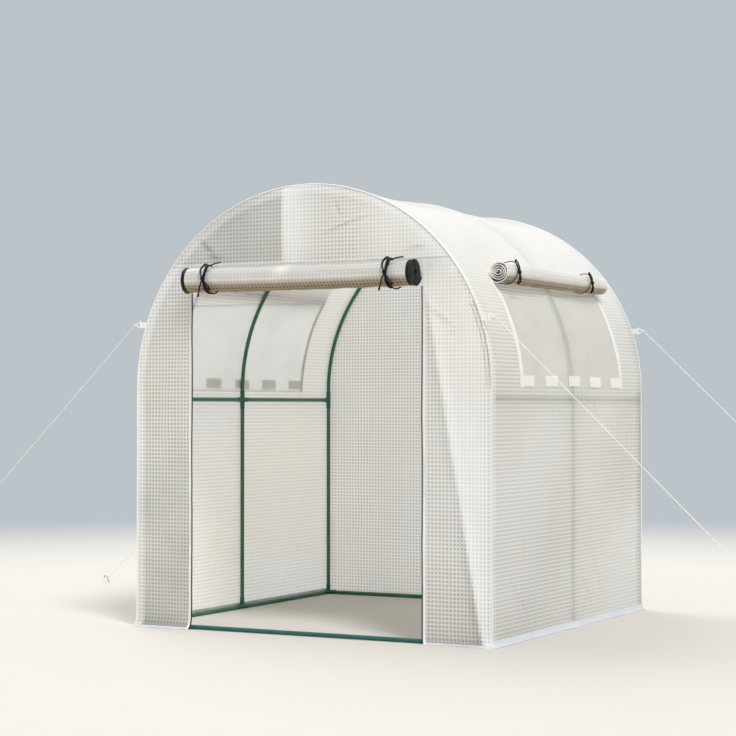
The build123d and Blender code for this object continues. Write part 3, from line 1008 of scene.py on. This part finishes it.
# The tan of a roll's underside is painted shade, with a little cream tint of layered film.
roll_tan_thread = "#bfab87"
roll_tan_pane = "#6f5e40"
roll_top_shade = 0.62
roll_glow = 0.26

door_roll_low, door_roll_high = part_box("door_roll")
door_roll_radius = (door_roll_high.y - door_roll_low.y) / 2
door_roll_centre = (0.0, (door_roll_low.y + door_roll_high.y) / 2, (door_roll_low.z + door_roll_high.z) / 2)

# The same film in several layers: nothing is seen through it. The lower half of a roll is tan:
# painted shade, with a little of the cream tint of film in layers. A tone above 1 darkens the top of a roll:
# painted shade.
rolled_film, tree = new_material("rolled_polyethylene_film")
place = add(tree, "TexCoord", give="Object")
in_pane, _ = thread_masks(tree)
tone = add(tree, "Attribute", give="Fac", attribute_name="tone")
yarn = add(tree, "Mix", {"Factor": tone, 6: roll_tan_thread, 7: roll_light_thread}, **blend)
pane = add(tree, "Mix", {"Factor": tone, 6: roll_tan_pane, 7: roll_light_pane}, **blend)
colour = add(tree, "Mix", {"Factor": in_pane, 6: yarn, 7: pane}, **blend)
top_shade = {"Value": tone, "From Min": 1.0, "From Max": 2.0, "To Min": 1.0, "To Max": roll_top_shade}
top_shade = add(tree, "MapRange", top_shade)
top_shade = add(tree, "CombineColor", {"Red": top_shade, "Green": top_shade, "Blue": top_shade})
colour = add(tree, "Mix", {"Factor": 1.0, 6: colour, 7: top_shade}, **multiply)
crinkle = {"Vector": place, "Scale": 1000 / roll_crinkle_mm, "Detail": 6.0, "Distortion": 1.0}
crinkle = add(tree, "TexNoise", crinkle)
bump = add(tree, "Bump", {"Height": crinkle, "Strength": 0.3, "Distance": 0.002})
end_material(tree, {"Base Color": colour, "Roughness": 0.34, "Normal": bump}, roll_glow)


def rolled(axes, radii, pitch, places, hanging, ties, seed, tan=1.0, top_shade=1.0, highlight_at=None, taper=0.0):
    """Grid of points, flat places and tones of a sheet that hangs from its seam and is rolled up.

    axes are a point on the roll's axis and the ways out from the cover, up and along the roll.
    radii are the outer and inner ones, places the grid's places down the roll, and hanging gives
    the rows of film that come down to it from the seam. tan is how much tan shade is painted
    underneath. The top is darkened by painted shade, by the share given, but less round the place
    given for a painted highlight; taper is how much thicker its front is.
    """
    centre, out, up, along = (np.array(axis, float) for axis in axes)
    outer, inner = radii
    turns = (outer - inner) / pitch
    turned = np.linspace(0, 2 * pi * turns, ceil(turns * roll_segments) + 1)[:, None]
    radius = outer - pitch * turned / (2 * pi)
    share = (radius - inner) / (outer - inner)
    a = places[None, :]
    span = (a - places[0]) / (places[-1] - places[0])
    slack = roll_slack * ripple(turned * outer, a, seed, 0.16, 0.03) * share
    for tie in ties:
        slack = slack - tie_pinch * np.exp(-(((a - tie) / tie_pinch_reach) ** 2)) * share
    droop = -roll_droop * np.sin(pi * span) * share
    rim = np.maximum(1 - np.minimum(a - places[0], places[-1] - a) / rim_reach, 0)
    slide = rim_slide * ripple(turned * outer, turned * 0, seed + 3, 0.5, 0.1) * rim
    slide = slide * np.where(span > 0.5, 1, -1)
    reach = radius + slack + (rim_swell * rim + taper * (1 - span)) * share
    facing = -np.cos(turned) * np.ones_like(a)
    rising = -np.sin(turned) * np.ones_like(a)
    points = centre + (a + slide)[..., None] * along + (reach * facing)[..., None] * out
    points = points + (reach * rising + droop)[..., None] * up
    rounds = np.cumsum(np.hypot(np.diff(turned[:, 0]) * radius[1:, 0], pitch / roll_segments))
    hang_rows, hang_laid = hanging(places)
    points = np.concatenate([hang_rows, points])
    laid = np.concatenate([hang_laid - hang_laid[-1] - seam_tuck, [0], rounds])
    flat = np.stack(np.broadcast_arrays(a, laid[:, None]), -1)
    level = facing * out[2] + rising * up[2]
    # Painted shade: tan on the underside and darker on top, less round a painted highlight.
    clear_of_underside = smooth(level, -0.80, -0.10)
    top_darkening = top_shade * (0.55 * smooth(level, -0.25, 0.25) + 0.40 * smooth(level, 0.3, 1.0))
    if highlight_at is not None:
        top_darkening = top_darkening * (1 - 0.7 * np.exp(-(((a - highlight_at) / highlight_reach) ** 2)))
    tone = np.concatenate([np.full((len(hang_rows), len(places)), 0.9), 1 - tan * (1 - clear_of_underside) + top_darkening])
    return points, flat, tone


def end_bands(piece, columns, widths, material):
    """Give a rolled sheet's sides a second finish, as of a tape sewn on, and its top that of the cover."""
    piece.data.materials.append(material)
    piece.data.materials.append(film)
    low, high = columns[0] + widths[0], columns[-1] - widths[1]
    layer = piece.data.uv_layers[0].data
    for face in piece.data.polygons:
        place = sum(layer[i].uv[0] for i in face.loop_indices) / len(face.loop_indices)
        laid = min(layer[i].uv[1] for i in face.loop_indices)
        if laid < -0.001:
            face.material_index = 2
        elif place < low or place > high:
            face.material_index = 1


def door_hanging(places):
    """The door's top, from the seam down the front panel to the back of the roll."""
    heights = np.linspace(door_seam_z - 0.002, door_roll_centre[2] + 0.004, 6)
    x, z = np.meshgrid(places, heights)
    ease = 0.0012 + 0.0004 * (heights[0] - z) / (heights[0] - heights[-1])
    return on_front(x, z, ease), heights[0] - heights


door_ends = (door_roll_low.x + door_insets[0], door_roll_high.x - door_insets[1])
door_tapes = (door_ends[0] + door_tape_widths[0], door_ends[1] - door_tape_widths[1])
door_columns = steps(door_ends[0], *door_tapes, door_ends[1], step=roll_step)
door_ways = ((0, -1, 0), (0, 0, 1), (1, 0, 0))
door_axes = (door_roll_centre, *door_ways)
door_radii = (door_roll_radius + door_swell, door_core_radius)
points, flat, tone = rolled(
    door_axes, door_radii, door_turn_pitch, door_columns, door_hanging, door_ties, 51, highlight_at=door_highlight_at
)
door = sheet_of("rolled_door", points, flat, rolled_film, roll_film_t, tone=tone)
end_bands(door, door_columns, door_tape_widths, zip_tape)
ride(door, "rolled_film", "door_roll")

# The door's own halves of the zips wind round with it. Their nylon is drawn black with lighter grey clouds,
# painted highlights, and has a gloss of its own.
door_tooth = (0.0055, 0.0040, 0.0034, 0.0034)
coil_dark = "#0c0c0d"
coil_highlight_grey = "#58585b"
coil_with_highlights = coated("nylon_coil_painted_highlights", coil_dark, coil_highlight_grey, 0.16, 7.0, 0.6, 0.0001, shine=0.9)
door_zip_edges = [points[6:, column] for column in (0, -1)]
bits_along("rolled_door_coils", door_zip_edges, door_tooth, coil_with_highlights, "zip_tape")


# Ties of the rolled door
# Black polypropylene laces, sewn into the seam. Each goes round the roll and is tied in front in a
# bow, with its loops up and down and its ends hanging out.
lace_radius = 0.0032
lace_black = "#070708"
lace_grey = "#121213"
lace_lift = 0.004
knot_radius = 0.0042
band_open = 152
band_gap = 0.0052
bow_shift = 0.011

# One bow on a roll of 57.5 mm radius. Each point is a place along the roll, above its axis and out
# from it, in millimetres, as the lace is laid by hand.
bow_radius = 0.0575
upper_loop = ((0, 0, 64), (-10, 18, 67), (-16, 38, 59), (-8, 57, 45), (4, 63, 41), (14, 54, 47))
second_loop = ((1, 1, 67), (-7, 16, 71), (-11, 35, 65), (-3, 52, 54), (8, 55, 51), (14, 43, 57))
lower_loop = ((1, -2, 68), (12, -16, 71), (25, -34, 65), (32, -49, 53), (27, -53, 51), (14, -38, 63))
bow = (
    (*upper_loop, (18, 34, 61), (8, 14, 68), (1, 1, 66)),
    (*second_loop, (13, 26, 66), (5, 10, 71), (1, 1, 68)),
    ((2, 4, 68), (10, 30, 67), (18, 47, 54), (38, 57, 40), (68, 61, 30)),
    ((0, -2, 66), (-10, -22, 66), (-22, -45, 56), (-36, -68, 42)),
    (*lower_loop, (4, -16, 70), (0, -2, 68)),
    ((2, -4, 66), (8, -30, 65), (12, -48, 54), (26, -64, 42), (42, -69, 36), (59, -61, 36)),
)
bow_tip = ((-33, -62, 46), (-37, -70, 41))

# The smaller bow of a window: one narrow loop that stands up, and two ends that hang free.
small_loop = ((0, 0, 62), (-9, 14, 65), (-17, 34, 60), (-17, 54, 50), (-5, 66, 44), (9, 64, 44))
small_bow = (
    (*small_loop, (15, 48, 52), (10, 24, 64), (2, 4, 66)),
    ((0, 0, 66), (-3, -20, 69), (-7, -44, 66), (-9, -62, 62)),
    ((1, 0, 66), (7, -18, 70), (13, -36, 68), (16, -52, 64)),
)
small_bow_tip = ((-8, -48, 65), (-9, -63, 62))
small_lace_radius = 0.0033
small_band_radius = 0.0020
small_knot_radius = 0.0052
small_band_to = 112
knot_half = ((-7, -1, 64), (-1, 7, 67), (7, 2, 68), (2, -7, 68))
bow_knot = (*knot_half, (-6, -3, 67), (-4, 6, 69), (5, 5, 70), (5, -5, 69))


def laces(name, routes, material):
    """Round cords as one mesh. Each route is its points, its radius, and whether it closes."""
    curve = bpy.data.curves.new(name, "CURVE")
    curve.dimensions = "3D"
    curve.bevel_depth = 1.0
    curve.bevel_resolution = 2
    curve.use_fill_caps = True
    curve.resolution_u = 6
    for points, radius, closed in routes:
        spline = curve.splines.new("NURBS")
        spline.points.add(len(points) - 1)
        for spot, point in zip(spline.points, points):
            spot.co = (*point, 1)
            spot.radius = radius
        spline.order_u = 3
        spline.use_endpoint_u = not closed
        spline.use_cyclic_u = closed
    piece = plain_piece(put(name, curve), name)
    piece.data.materials.clear()
    piece.data.materials.append(material)
    return piece


def bow_round(axes, radius, tilt=0.0, shift=0.0, rise=0.0, drift=0.0, small=False):
    """The routes of one tie: its band round the roll, open at the cover, and its bow.

    axes are as for a roll. tilt leans the bow, and shift moves it along the roll from the band.
    rise is the angle by which the band's opening lies below the back of the roll, and drift how
    far its ends run along it. A small tie has one band and the window's bow.
    """
    thick, thick_knot = (small_lace_radius, small_knot_radius) if small else (lace_radius, knot_radius)
    loops, tip = (small_bow, small_bow_tip) if small else (bow, bow_tip)
    centre, out, up, along = (np.array(axis, float) for axis in axes)
    reach = radius + thick * 0.9
    band_route = []
    for turn in np.radians(np.linspace(-band_open, small_band_to if small else band_open, 25) + rise):
        away = (abs(turn - radians(rise)) / pi) ** 1.6
        place = shift * cos(turn / 2) ** 4 + drift * away + 0.002 * sin(3 * turn)
        band_route.append(centre + reach * (out * cos(turn) + up * sin(turn)) + place * along)
    routes = [(band_route, small_band_radius if small else thick, False)]
    if not small:
        routes.append(([point + along * band_gap for point in band_route[4:-4]], thick * 0.9, False))
    ways = np.array([along + tilt * up, up, out])
    scale = radius / bow_radius / 1000
    laid = [(route, thick, False) for route in loops]
    for route, size, closed in laid + [(tip, thick * 1.5, False), (bow_knot, thick_knot, True)]:
        spots = np.array(route, float) * scale
        routes.append((centre + shift * along + spots @ ways, size, closed))
    return routes


# Flat braided lace: dull black, with a fine plait.
black_lace = coated("braided_black_lace", lace_black, lace_grey, 0.62, 12.0, 1.6, 0.0005, shine=0.22)
routes = []
for place, tilt in zip(door_ties, (0.10, 0.0)):
    tie_axes = ((place, *door_roll_centre[1:]), *door_ways)
    routes += bow_round(tie_axes, door_roll_radius + lace_lift, tilt, shift=bow_shift)
ride(laces("door_laces", routes, black_lace), "tie_cord", "door_roll_ties")


# Window nets
# Fine insect netting of white polyethylene, welded behind the cut-out in each haunch. The middle
# hoop shows through it as a grey band.
net_t = 0.0005
net_margin = 0.010
net_lift = -0.0016
net_rows = 34
net_light = "#f4f3f0"
net_dark = "#dbdad6"
net_mesh_mm = 3.2
net_clouds_mm = 200.0
net_glow = 0.62
net_seen_through = 0.42
both_sides = ((1, "right"), (-1, "left"))

# The real mesh is about 1 mm, too fine to show, so it is drawn at three times that.
netting, tree = new_material("woven_insect_netting")
place, flat = (add(tree, "TexCoord", give=kind) for kind in ("Object", "UV"))
cell = add(tree, "TexVoronoi", {"Vector": flat, "Scale": 1000 / net_mesh_mm, "Randomness": 0.12})
hole = add(tree, "MapRange", {"Value": cell, "From Min": 0.30, "From Max": 0.46})
cloud = add(tree, "TexNoise", {"Vector": place, "Scale": 1000 / net_clouds_mm, "Detail": 4.0})
shade = add(tree, "Math", {0: hole, 1: 0.5, 2: cloud}, operation="MULTIPLY_ADD", use_clamp=True)
colour = add(tree, "Mix", {"Factor": shade, 6: net_dark, 7: net_light}, **blend)
bump = add(tree, "Bump", {"Height": hole, "Strength": 0.3, "Distance": 0.0004})
opened = {"Value": hole, "To Min": net_seen_through + 0.14, "To Max": net_seen_through - 0.14}
skin = {"Base Color": colour, "Roughness": 0.6, "Normal": bump}
end_material(tree, skin, net_glow, add(tree, "MapRange", opened))


def on_haunch(side, up, y, lift):
    """Points on the cover at a distance up from the ground, on the right side (1) or the left (-1)."""
    up = np.asarray(up, float)
    return on_cover(round_run - up if side > 0 else up, y, lift)


for side, which in both_sides:
    share = np.linspace(0, 1, net_rows)[:, None]
    y_run = steps(window_front - net_margin, window_rear + net_margin)
    y_net = np.repeat(y_run[None, :], net_rows, 0)
    up_net = springing - net_margin + share * (window_top(y_net) + 2 * net_margin - springing)
    y_net, up_net = y_net[::-side], up_net[::-side]
    points = on_haunch(side, up_net, y_net, net_lift)
    net = sheet_of(f"window_net_film_{which}", points, np.stack([y_net, up_net], -1), netting, net_t)
    ride(net, "insect_net", f"window_net_{which}")


# Window borders and tabs
# White hook-and-loop tape: a strip up each side of the window, and five tabs along its foot that
# hold the flap when it is let down. All are sewn on round their edges.
border_width = 0.034
border_t = 0.0012
border_foot = -0.002
border_tuck = 0.004
tab_t = 0.0016
tab_count = 5
tab_width = 0.135
tab_shift = 0.0025
tab_tilt = 0.03
hook_light = "#fcfbf9"
hook_dark = "#f1f0ed"

# Hook-and-loop tape: a dense short pile, quite matt, with a fine grain.
hook_tape = cloth("white_hook_and_loop_tape", hook_light, hook_dark, 0.85, 1.3823, 0.22, 0.0008)
tab_low_z, tab_high_z = (corner.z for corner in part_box("window_tabs_right"))
tab_height = asin((tab_high_z - springing) / half_width) * half_width - (tab_low_z - springing)
roll_low, roll_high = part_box("window_roll_right")
window_roll_radius = (roll_high.z - roll_low.z) / 2
roll_centre_x = (roll_low.x + roll_high.x) / 2
roll_centre_z = (roll_low.z + roll_high.z) / 2
roll_angle = atan2(roll_centre_z - springing, roll_centre_x)
border_top = springing + roll_angle * half_width - border_tuck


def up_haunch(side):
    """The haunch of one side, as a surface for a band."""
    return lambda up, y, lift: on_haunch(side, up, y, lift)


for side, which in both_sides:
    for name, y_mid in (("front", window_front), ("rear", window_rear)):
        y_run = np.linspace(y_mid - border_width / 2, y_mid + border_width / 2, 4)
        up_run = steps(springing + border_foot, border_top)[::-side]
        strip = band(up_haunch(side), up_run, y_run, f"window_border_{name}_{which}", hook_tape, border_t)
        ride(strip, "hook_and_loop")
    lean = np.random.RandomState(7 if side > 0 else 8)
    for count in range(tab_count):
        y_from = window_front + count * (window_rear - window_front - tab_width) / (tab_count - 1)
        shift, tilt = lean.uniform(-tab_shift, tab_shift), lean.uniform(-tab_tilt, tab_tilt)
        share, y_run = np.linspace(0, 1, 5)[::-side], np.linspace(0, tab_width, 9)
        up_tab, y_tab = np.meshgrid(share, y_run, indexing="ij")
        up_tab = tab_low_z + shift + up_tab * tab_height + tilt * (y_tab - tab_width / 2)
        points = on_haunch(side, up_tab, y_from + y_tab, border_t)
        name = f"window_tab_{which}_{count + 1}"
        tab = sheet_of(name, points, np.stack([y_tab, up_tab], -1), hook_tape, tab_t)
        ride(tab, "hook_and_loop", *([] if count else [f"window_tabs_{which}"]))
        inset = points[1:-1, 1:-1]
        seam_lines.append(np.concatenate([inset[0], inset[:, -1], inset[-1, ::-1], inset[::-1, 0]]))


# Rolled window flaps
# Each window's flap is film too, hemmed in white at both sides. It is rolled up outwards under the
# seam that it hangs from, and is held by two laces.
window_turn_pitch = 0.0088
window_core_radius = 0.006
window_swell = 0.001
flap_inset = 0.003
flap_hem_width = 0.012
flap_seam_angle = 36.4
flap_lift = 0.0014
# How much painted shade darkens the top of a flap's roll.
flap_top_shade = 0.35
rim_hem = {"Radius": 0.0016, "Sides": 6}
window_ties = (-0.36135, 0.51865)
window_tie_drift = -0.13
window_bow_shift = -0.068
window_taper = 0.006

flap_ends = (roll_low.y + flap_inset, roll_high.y - flap_inset)
flap_columns = steps(
    flap_ends[0], flap_ends[0] + flap_hem_width, flap_ends[1] - flap_hem_width, flap_ends[1], step=roll_step
)
flap_radii = (window_roll_radius + window_swell, window_core_radius)

# The left flap is seen through the front film, and less tan shade is painted on its underside.
for side, which, tan in ((1, "right", 1.0), (-1, "left", 0.3)):
    out = (side * cos(roll_angle), 0, sin(roll_angle))
    up = (-side * sin(roll_angle), 0, cos(roll_angle))
    axes = ((side * roll_centre_x, 0.0, roll_centre_z), out, up, (0, 1, 0))

    def flap_hanging(places, side=side):
        """The flap's top, from its seam down the cover to the back of the roll."""
        angles = np.radians(np.linspace(flap_seam_angle, degrees(roll_angle) + 0.3, 5))
        y, angle = np.meshgrid(places, angles)
        rows = on_haunch(side, springing + angle * half_width, y, flap_lift)
        return rows, half_width * (angles[0] - angles)

    points, flat, tone = rolled(
        axes,
        flap_radii,
        window_turn_pitch,
        flap_columns,
        flap_hanging,
        window_ties,
        61 + side,
        tan=tan,
        top_shade=flap_top_shade,
        taper=window_taper,
    )
    points, flat, tone = points[:, ::-side], flat[:, ::-side], tone[:, ::-side]
    flap = sheet_of(f"rolled_flap_{which}", points, flat, rolled_film, roll_film_t, tone=tone)
    end_bands(flap, flap_columns, (flap_hem_width, flap_hem_width), binding)
    ride(flap, "rolled_film", f"window_roll_{which}")
    rims = [points[5:, column] for column in (0, -1)]
    ride(build_on(f"flap_rims_{which}", rims, bead_tree, rim_hem, binding), "rolled_film")
    routes = []
    for place in window_ties:
        tie_axes = ((side * roll_centre_x, place, roll_centre_z), (side, 0, 0), (0, 0, 1), (0, side, 0))
        swell = window_taper * (roll_high.y - place) / (roll_high.y - roll_low.y)
        routes += bow_round(
            tie_axes,
            window_roll_radius + lace_lift + swell,
            shift=side * window_bow_shift,
            rise=degrees(roll_angle),
            drift=side * window_tie_drift,
            small=True,
        )
    ride(laces(f"window_laces_{which}", routes, black_lace), "tie_cord", f"window_roll_ties_{which}")


# Stitching
# White polyester thread, lockstitched down every seam, hem, binding and tape. The real stitches
# are 4 mm long, and are drawn longer so that they show.
stitch = (0.009, 0.0062, 0.0011, 0.0011)
stitch_light = "#ffffff"
stitch_dark = "#e6e6e2"

white_thread = polyester_thread("white_polyester_thread", stitch_dark, stitch_light, 0.5)
bits_along("seam_stitches", seam_lines, stitch, white_thread, "cover_film")

# A double row of dark grey stitches down the right of the front arch.
arch_stitch = (0.012, 0.0105, 0.0026, 0.0014)
arch_stitch_lift = 0.0008
arch_thread_dark = "#262524"
arch_thread_light = "#45433f"
arch_insets = (0.008, 0.024)
arch_thread_from = 1.46
arch_thread_to = 1.105

dark_thread = polyester_thread("dark_polyester_thread", arch_thread_dark, arch_thread_light, 0.6)
arch_turn = np.arcsin((np.linspace(arch_thread_from, arch_thread_to, 30) - springing) / half_width)
arch_rows = []
for inset in arch_insets:
    reach = half_width - inset
    across, up = reach * np.cos(arch_turn), reach * np.sin(arch_turn)
    arch_rows.append(on_front(across, springing + up, arch_stitch_lift))
bits_along("arch_stitches", arch_rows, arch_stitch, dark_thread, "cover_film")


# Guy points
# A tab of flat white webbing is sewn into each top corner and holds a ring of white coated wire.
webbing_light = "#f7f7f4"
webbing_dark = "#dfdfda"
ring_dark = "#e8e8e4"
ring_light = "#f6f6f3"

webbing = cloth("flat_white_webbing", webbing_light, webbing_dark, 0.7, 1.885, 0.0, 0.0006)
ring_coat = coated("white_coated_wire", ring_dark, ring_light, 0.35, 20.0, 1.0, 0.0001)
finish_nodes(webbing, ["anchor_tabs"])
finish_nodes(ring_coat, ["anchor_rings"])


# Guy ropes
# White polypropylene rope, 4 mm, three strands twisted. It loops through the ring with a knot and
# runs straight out and down to a turn round its peg.
rope_thickness = 0.004
rope_lay = 0.024
rope_strands = 3
steps_in_lay = 8.0
strand_sides = 6
strand_radius = 0.26
strand_offset = 0.25
rope_light = "#f6f5ef"
rope_dark = "#d9d8cf"
peg_lean = radians(20)
peg_grip_z = 0.024
peg_loop_radius = 0.0058
ring_wire_radius = 0.002
ring_loop_radius = 0.0042
rope_front_y = -0.83935
rope_rear_y = 0.95865
knot_x = 0.9162
peg_foot_x = 2.3462
knot_turns = 3
knot_long = 0.009
knot_coil_radius = 0.0032

# Each strand winds about the rope's own line, a third of a turn from the next one. Its radius and
# its offset are shares of the rope's thickness.
rope_tree, given = new_build("twisted_rope", ["Thickness", "Lay"])
line = add(rope_tree, "GeometryNodeMeshToCurve", {"Mesh": given["Path"]})
step_long = add(rope_tree, "Math", {0: given["Lay"], 1: steps_in_lay}, operation="DIVIDE")
fine = {"Curve": line, "Length": step_long}
fine = add(rope_tree, "GeometryNodeResampleCurve", fine, mode="LENGTH")
run = add(rope_tree, "GeometryNodeSplineParameter", give="Length")
ahead = add(rope_tree, "GeometryNodeInputTangent")
beside = add(rope_tree, "GeometryNodeInputNormal")
third = add(rope_tree, "VectorMath", {0: ahead, 1: beside}, operation="CROSS_PRODUCT")
laid = add(rope_tree, "Math", {0: run, 1: given["Lay"]}, operation="DIVIDE")
thick, apart = (
    add(rope_tree, "Math", {0: given["Thickness"], 1: share}, operation="MULTIPLY")
    for share in (strand_radius, strand_offset)
)
ring = {"Resolution": strand_sides, "Radius": thick}
ring = add(rope_tree, "GeometryNodeCurvePrimitiveCircle", ring)
strands = []
for strand in range(rope_strands):
    phase = {0: laid, 1: 2 * pi, 2: 2 * pi * strand / rope_strands}
    turn = add(rope_tree, "Math", phase, operation="MULTIPLY_ADD")
    sides = []
    for way, curve_of in ((beside, "COSINE"), (third, "SINE")):
        amount = {0: add(rope_tree, "Math", {0: turn}, operation=curve_of), 1: apart}
        amount = add(rope_tree, "Math", amount, operation="MULTIPLY")
        sides.append(add(rope_tree, "VectorMath", {0: way, "Scale": amount}, operation="SCALE"))
    shift = add(rope_tree, "VectorMath", dict(enumerate(sides)), operation="ADD")
    twisted = add(rope_tree, "GeometryNodeSetPosition", {"Geometry": fine, "Offset": shift})
    solid = {"Curve": twisted, "Profile Curve": ring, "Fill Caps": True}
    strands.append(add(rope_tree, "GeometryNodeCurveToMesh", solid))
joined = add(rope_tree, "GeometryNodeJoinGeometry", {"Geometry": tuple(strands)})
end_build(rope_tree, joined, given["Finish"])


def round_turn(centre, radius, first, second, turns=1, advance=0.0, count=25):
    """Points of a turn or a coil about a centre, in the plane of two ways or along a third."""
    spin = np.linspace(0, 2 * pi * turns, count)[:, None]
    centred = centre + advance * (spin / (2 * pi * turns) - 0.5)
    return centred + radius * (np.cos(spin) * first + np.sin(spin) * second)


white_rope = coated("twisted_polypropylene_rope", rope_dark, rope_light, 0.55, 9.0, 0.7, 0.0003)
rope_sizes = {"Thickness": rope_thickness, "Lay": rope_lay}
tab_middle = sum(corner.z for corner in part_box("anchor_tabs")) / 2
ring_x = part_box("anchor_rings")[1].x
grip_x = peg_foot_x + peg_grip_z * sin(peg_lean) / cos(peg_lean)
lengthways = np.array([0, 1, 0])
rope_corners = (
    ("guy_rope_front_right", 1, rope_front_y, ["guy_ropes"]),
    ("guy_rope_front_left", -1, rope_front_y, []),
    ("guy_rope_rear_right", 1, rope_rear_y, []),
    ("guy_rope_rear_left", -1, rope_rear_y, []),
)
for name, side, y, nodes in rope_corners:
    grip = np.array([side * grip_x, y, peg_grip_z])
    knot = np.array([side * knot_x, y, tab_middle])
    ring_spot = np.array([side * (ring_x - ring_wire_radius), y, tab_middle])
    toward = np.array([-side * cos(peg_lean), 0, sin(peg_lean)])
    end = grip + peg_loop_radius * toward
    ahead = (end - knot) / np.linalg.norm(end - knot)
    peg_loop = round_turn(grip, peg_loop_radius, toward, lengthways)
    ring_loop = round_turn(ring_spot, ring_loop_radius, np.array([side, 0, 0]), lengthways)
    upward = np.cross(ahead, lengthways)
    coil = round_turn(knot, knot_coil_radius, lengthways, upward, knot_turns, ahead * knot_long, 49)
    paths = [np.array([knot, end]), peg_loop, ring_loop, coil]
    rope = build_on(name, paths, rope_tree, rope_sizes, white_rope)
    ride(rope, "guy_rope", *nodes)


# Pegs
# Bent from 7 mm steel rod and zinc plated: bright, with soft cloudy spangle.
zinc_light = "#c9c9c6"
zinc_dark = "#a3a4a3"
zinc_roughness = 0.34
zinc_spangle_mm = 4.0

zinc, tree = new_material("zinc_plated_steel")
spangle = {"Vector": add(tree, "TexCoord", give="Object"), "Scale": 1000 / zinc_spangle_mm}
fleck = add(tree, "SeparateColor", {"Color": add(tree, "TexVoronoi", spangle, "Color")})
colour = add(tree, "Mix", {"Factor": fleck, 6: zinc_dark, 7: zinc_light}, **blend)
gloss = {"Value": fleck, "To Min": zinc_roughness - 0.06, "To Max": zinc_roughness + 0.12}
skin = {"Base Color": colour, "Roughness": add(tree, "MapRange", gloss), "Metallic": 1.0}
end_material(tree, skin)
finish_nodes(zinc, ["pegs"])
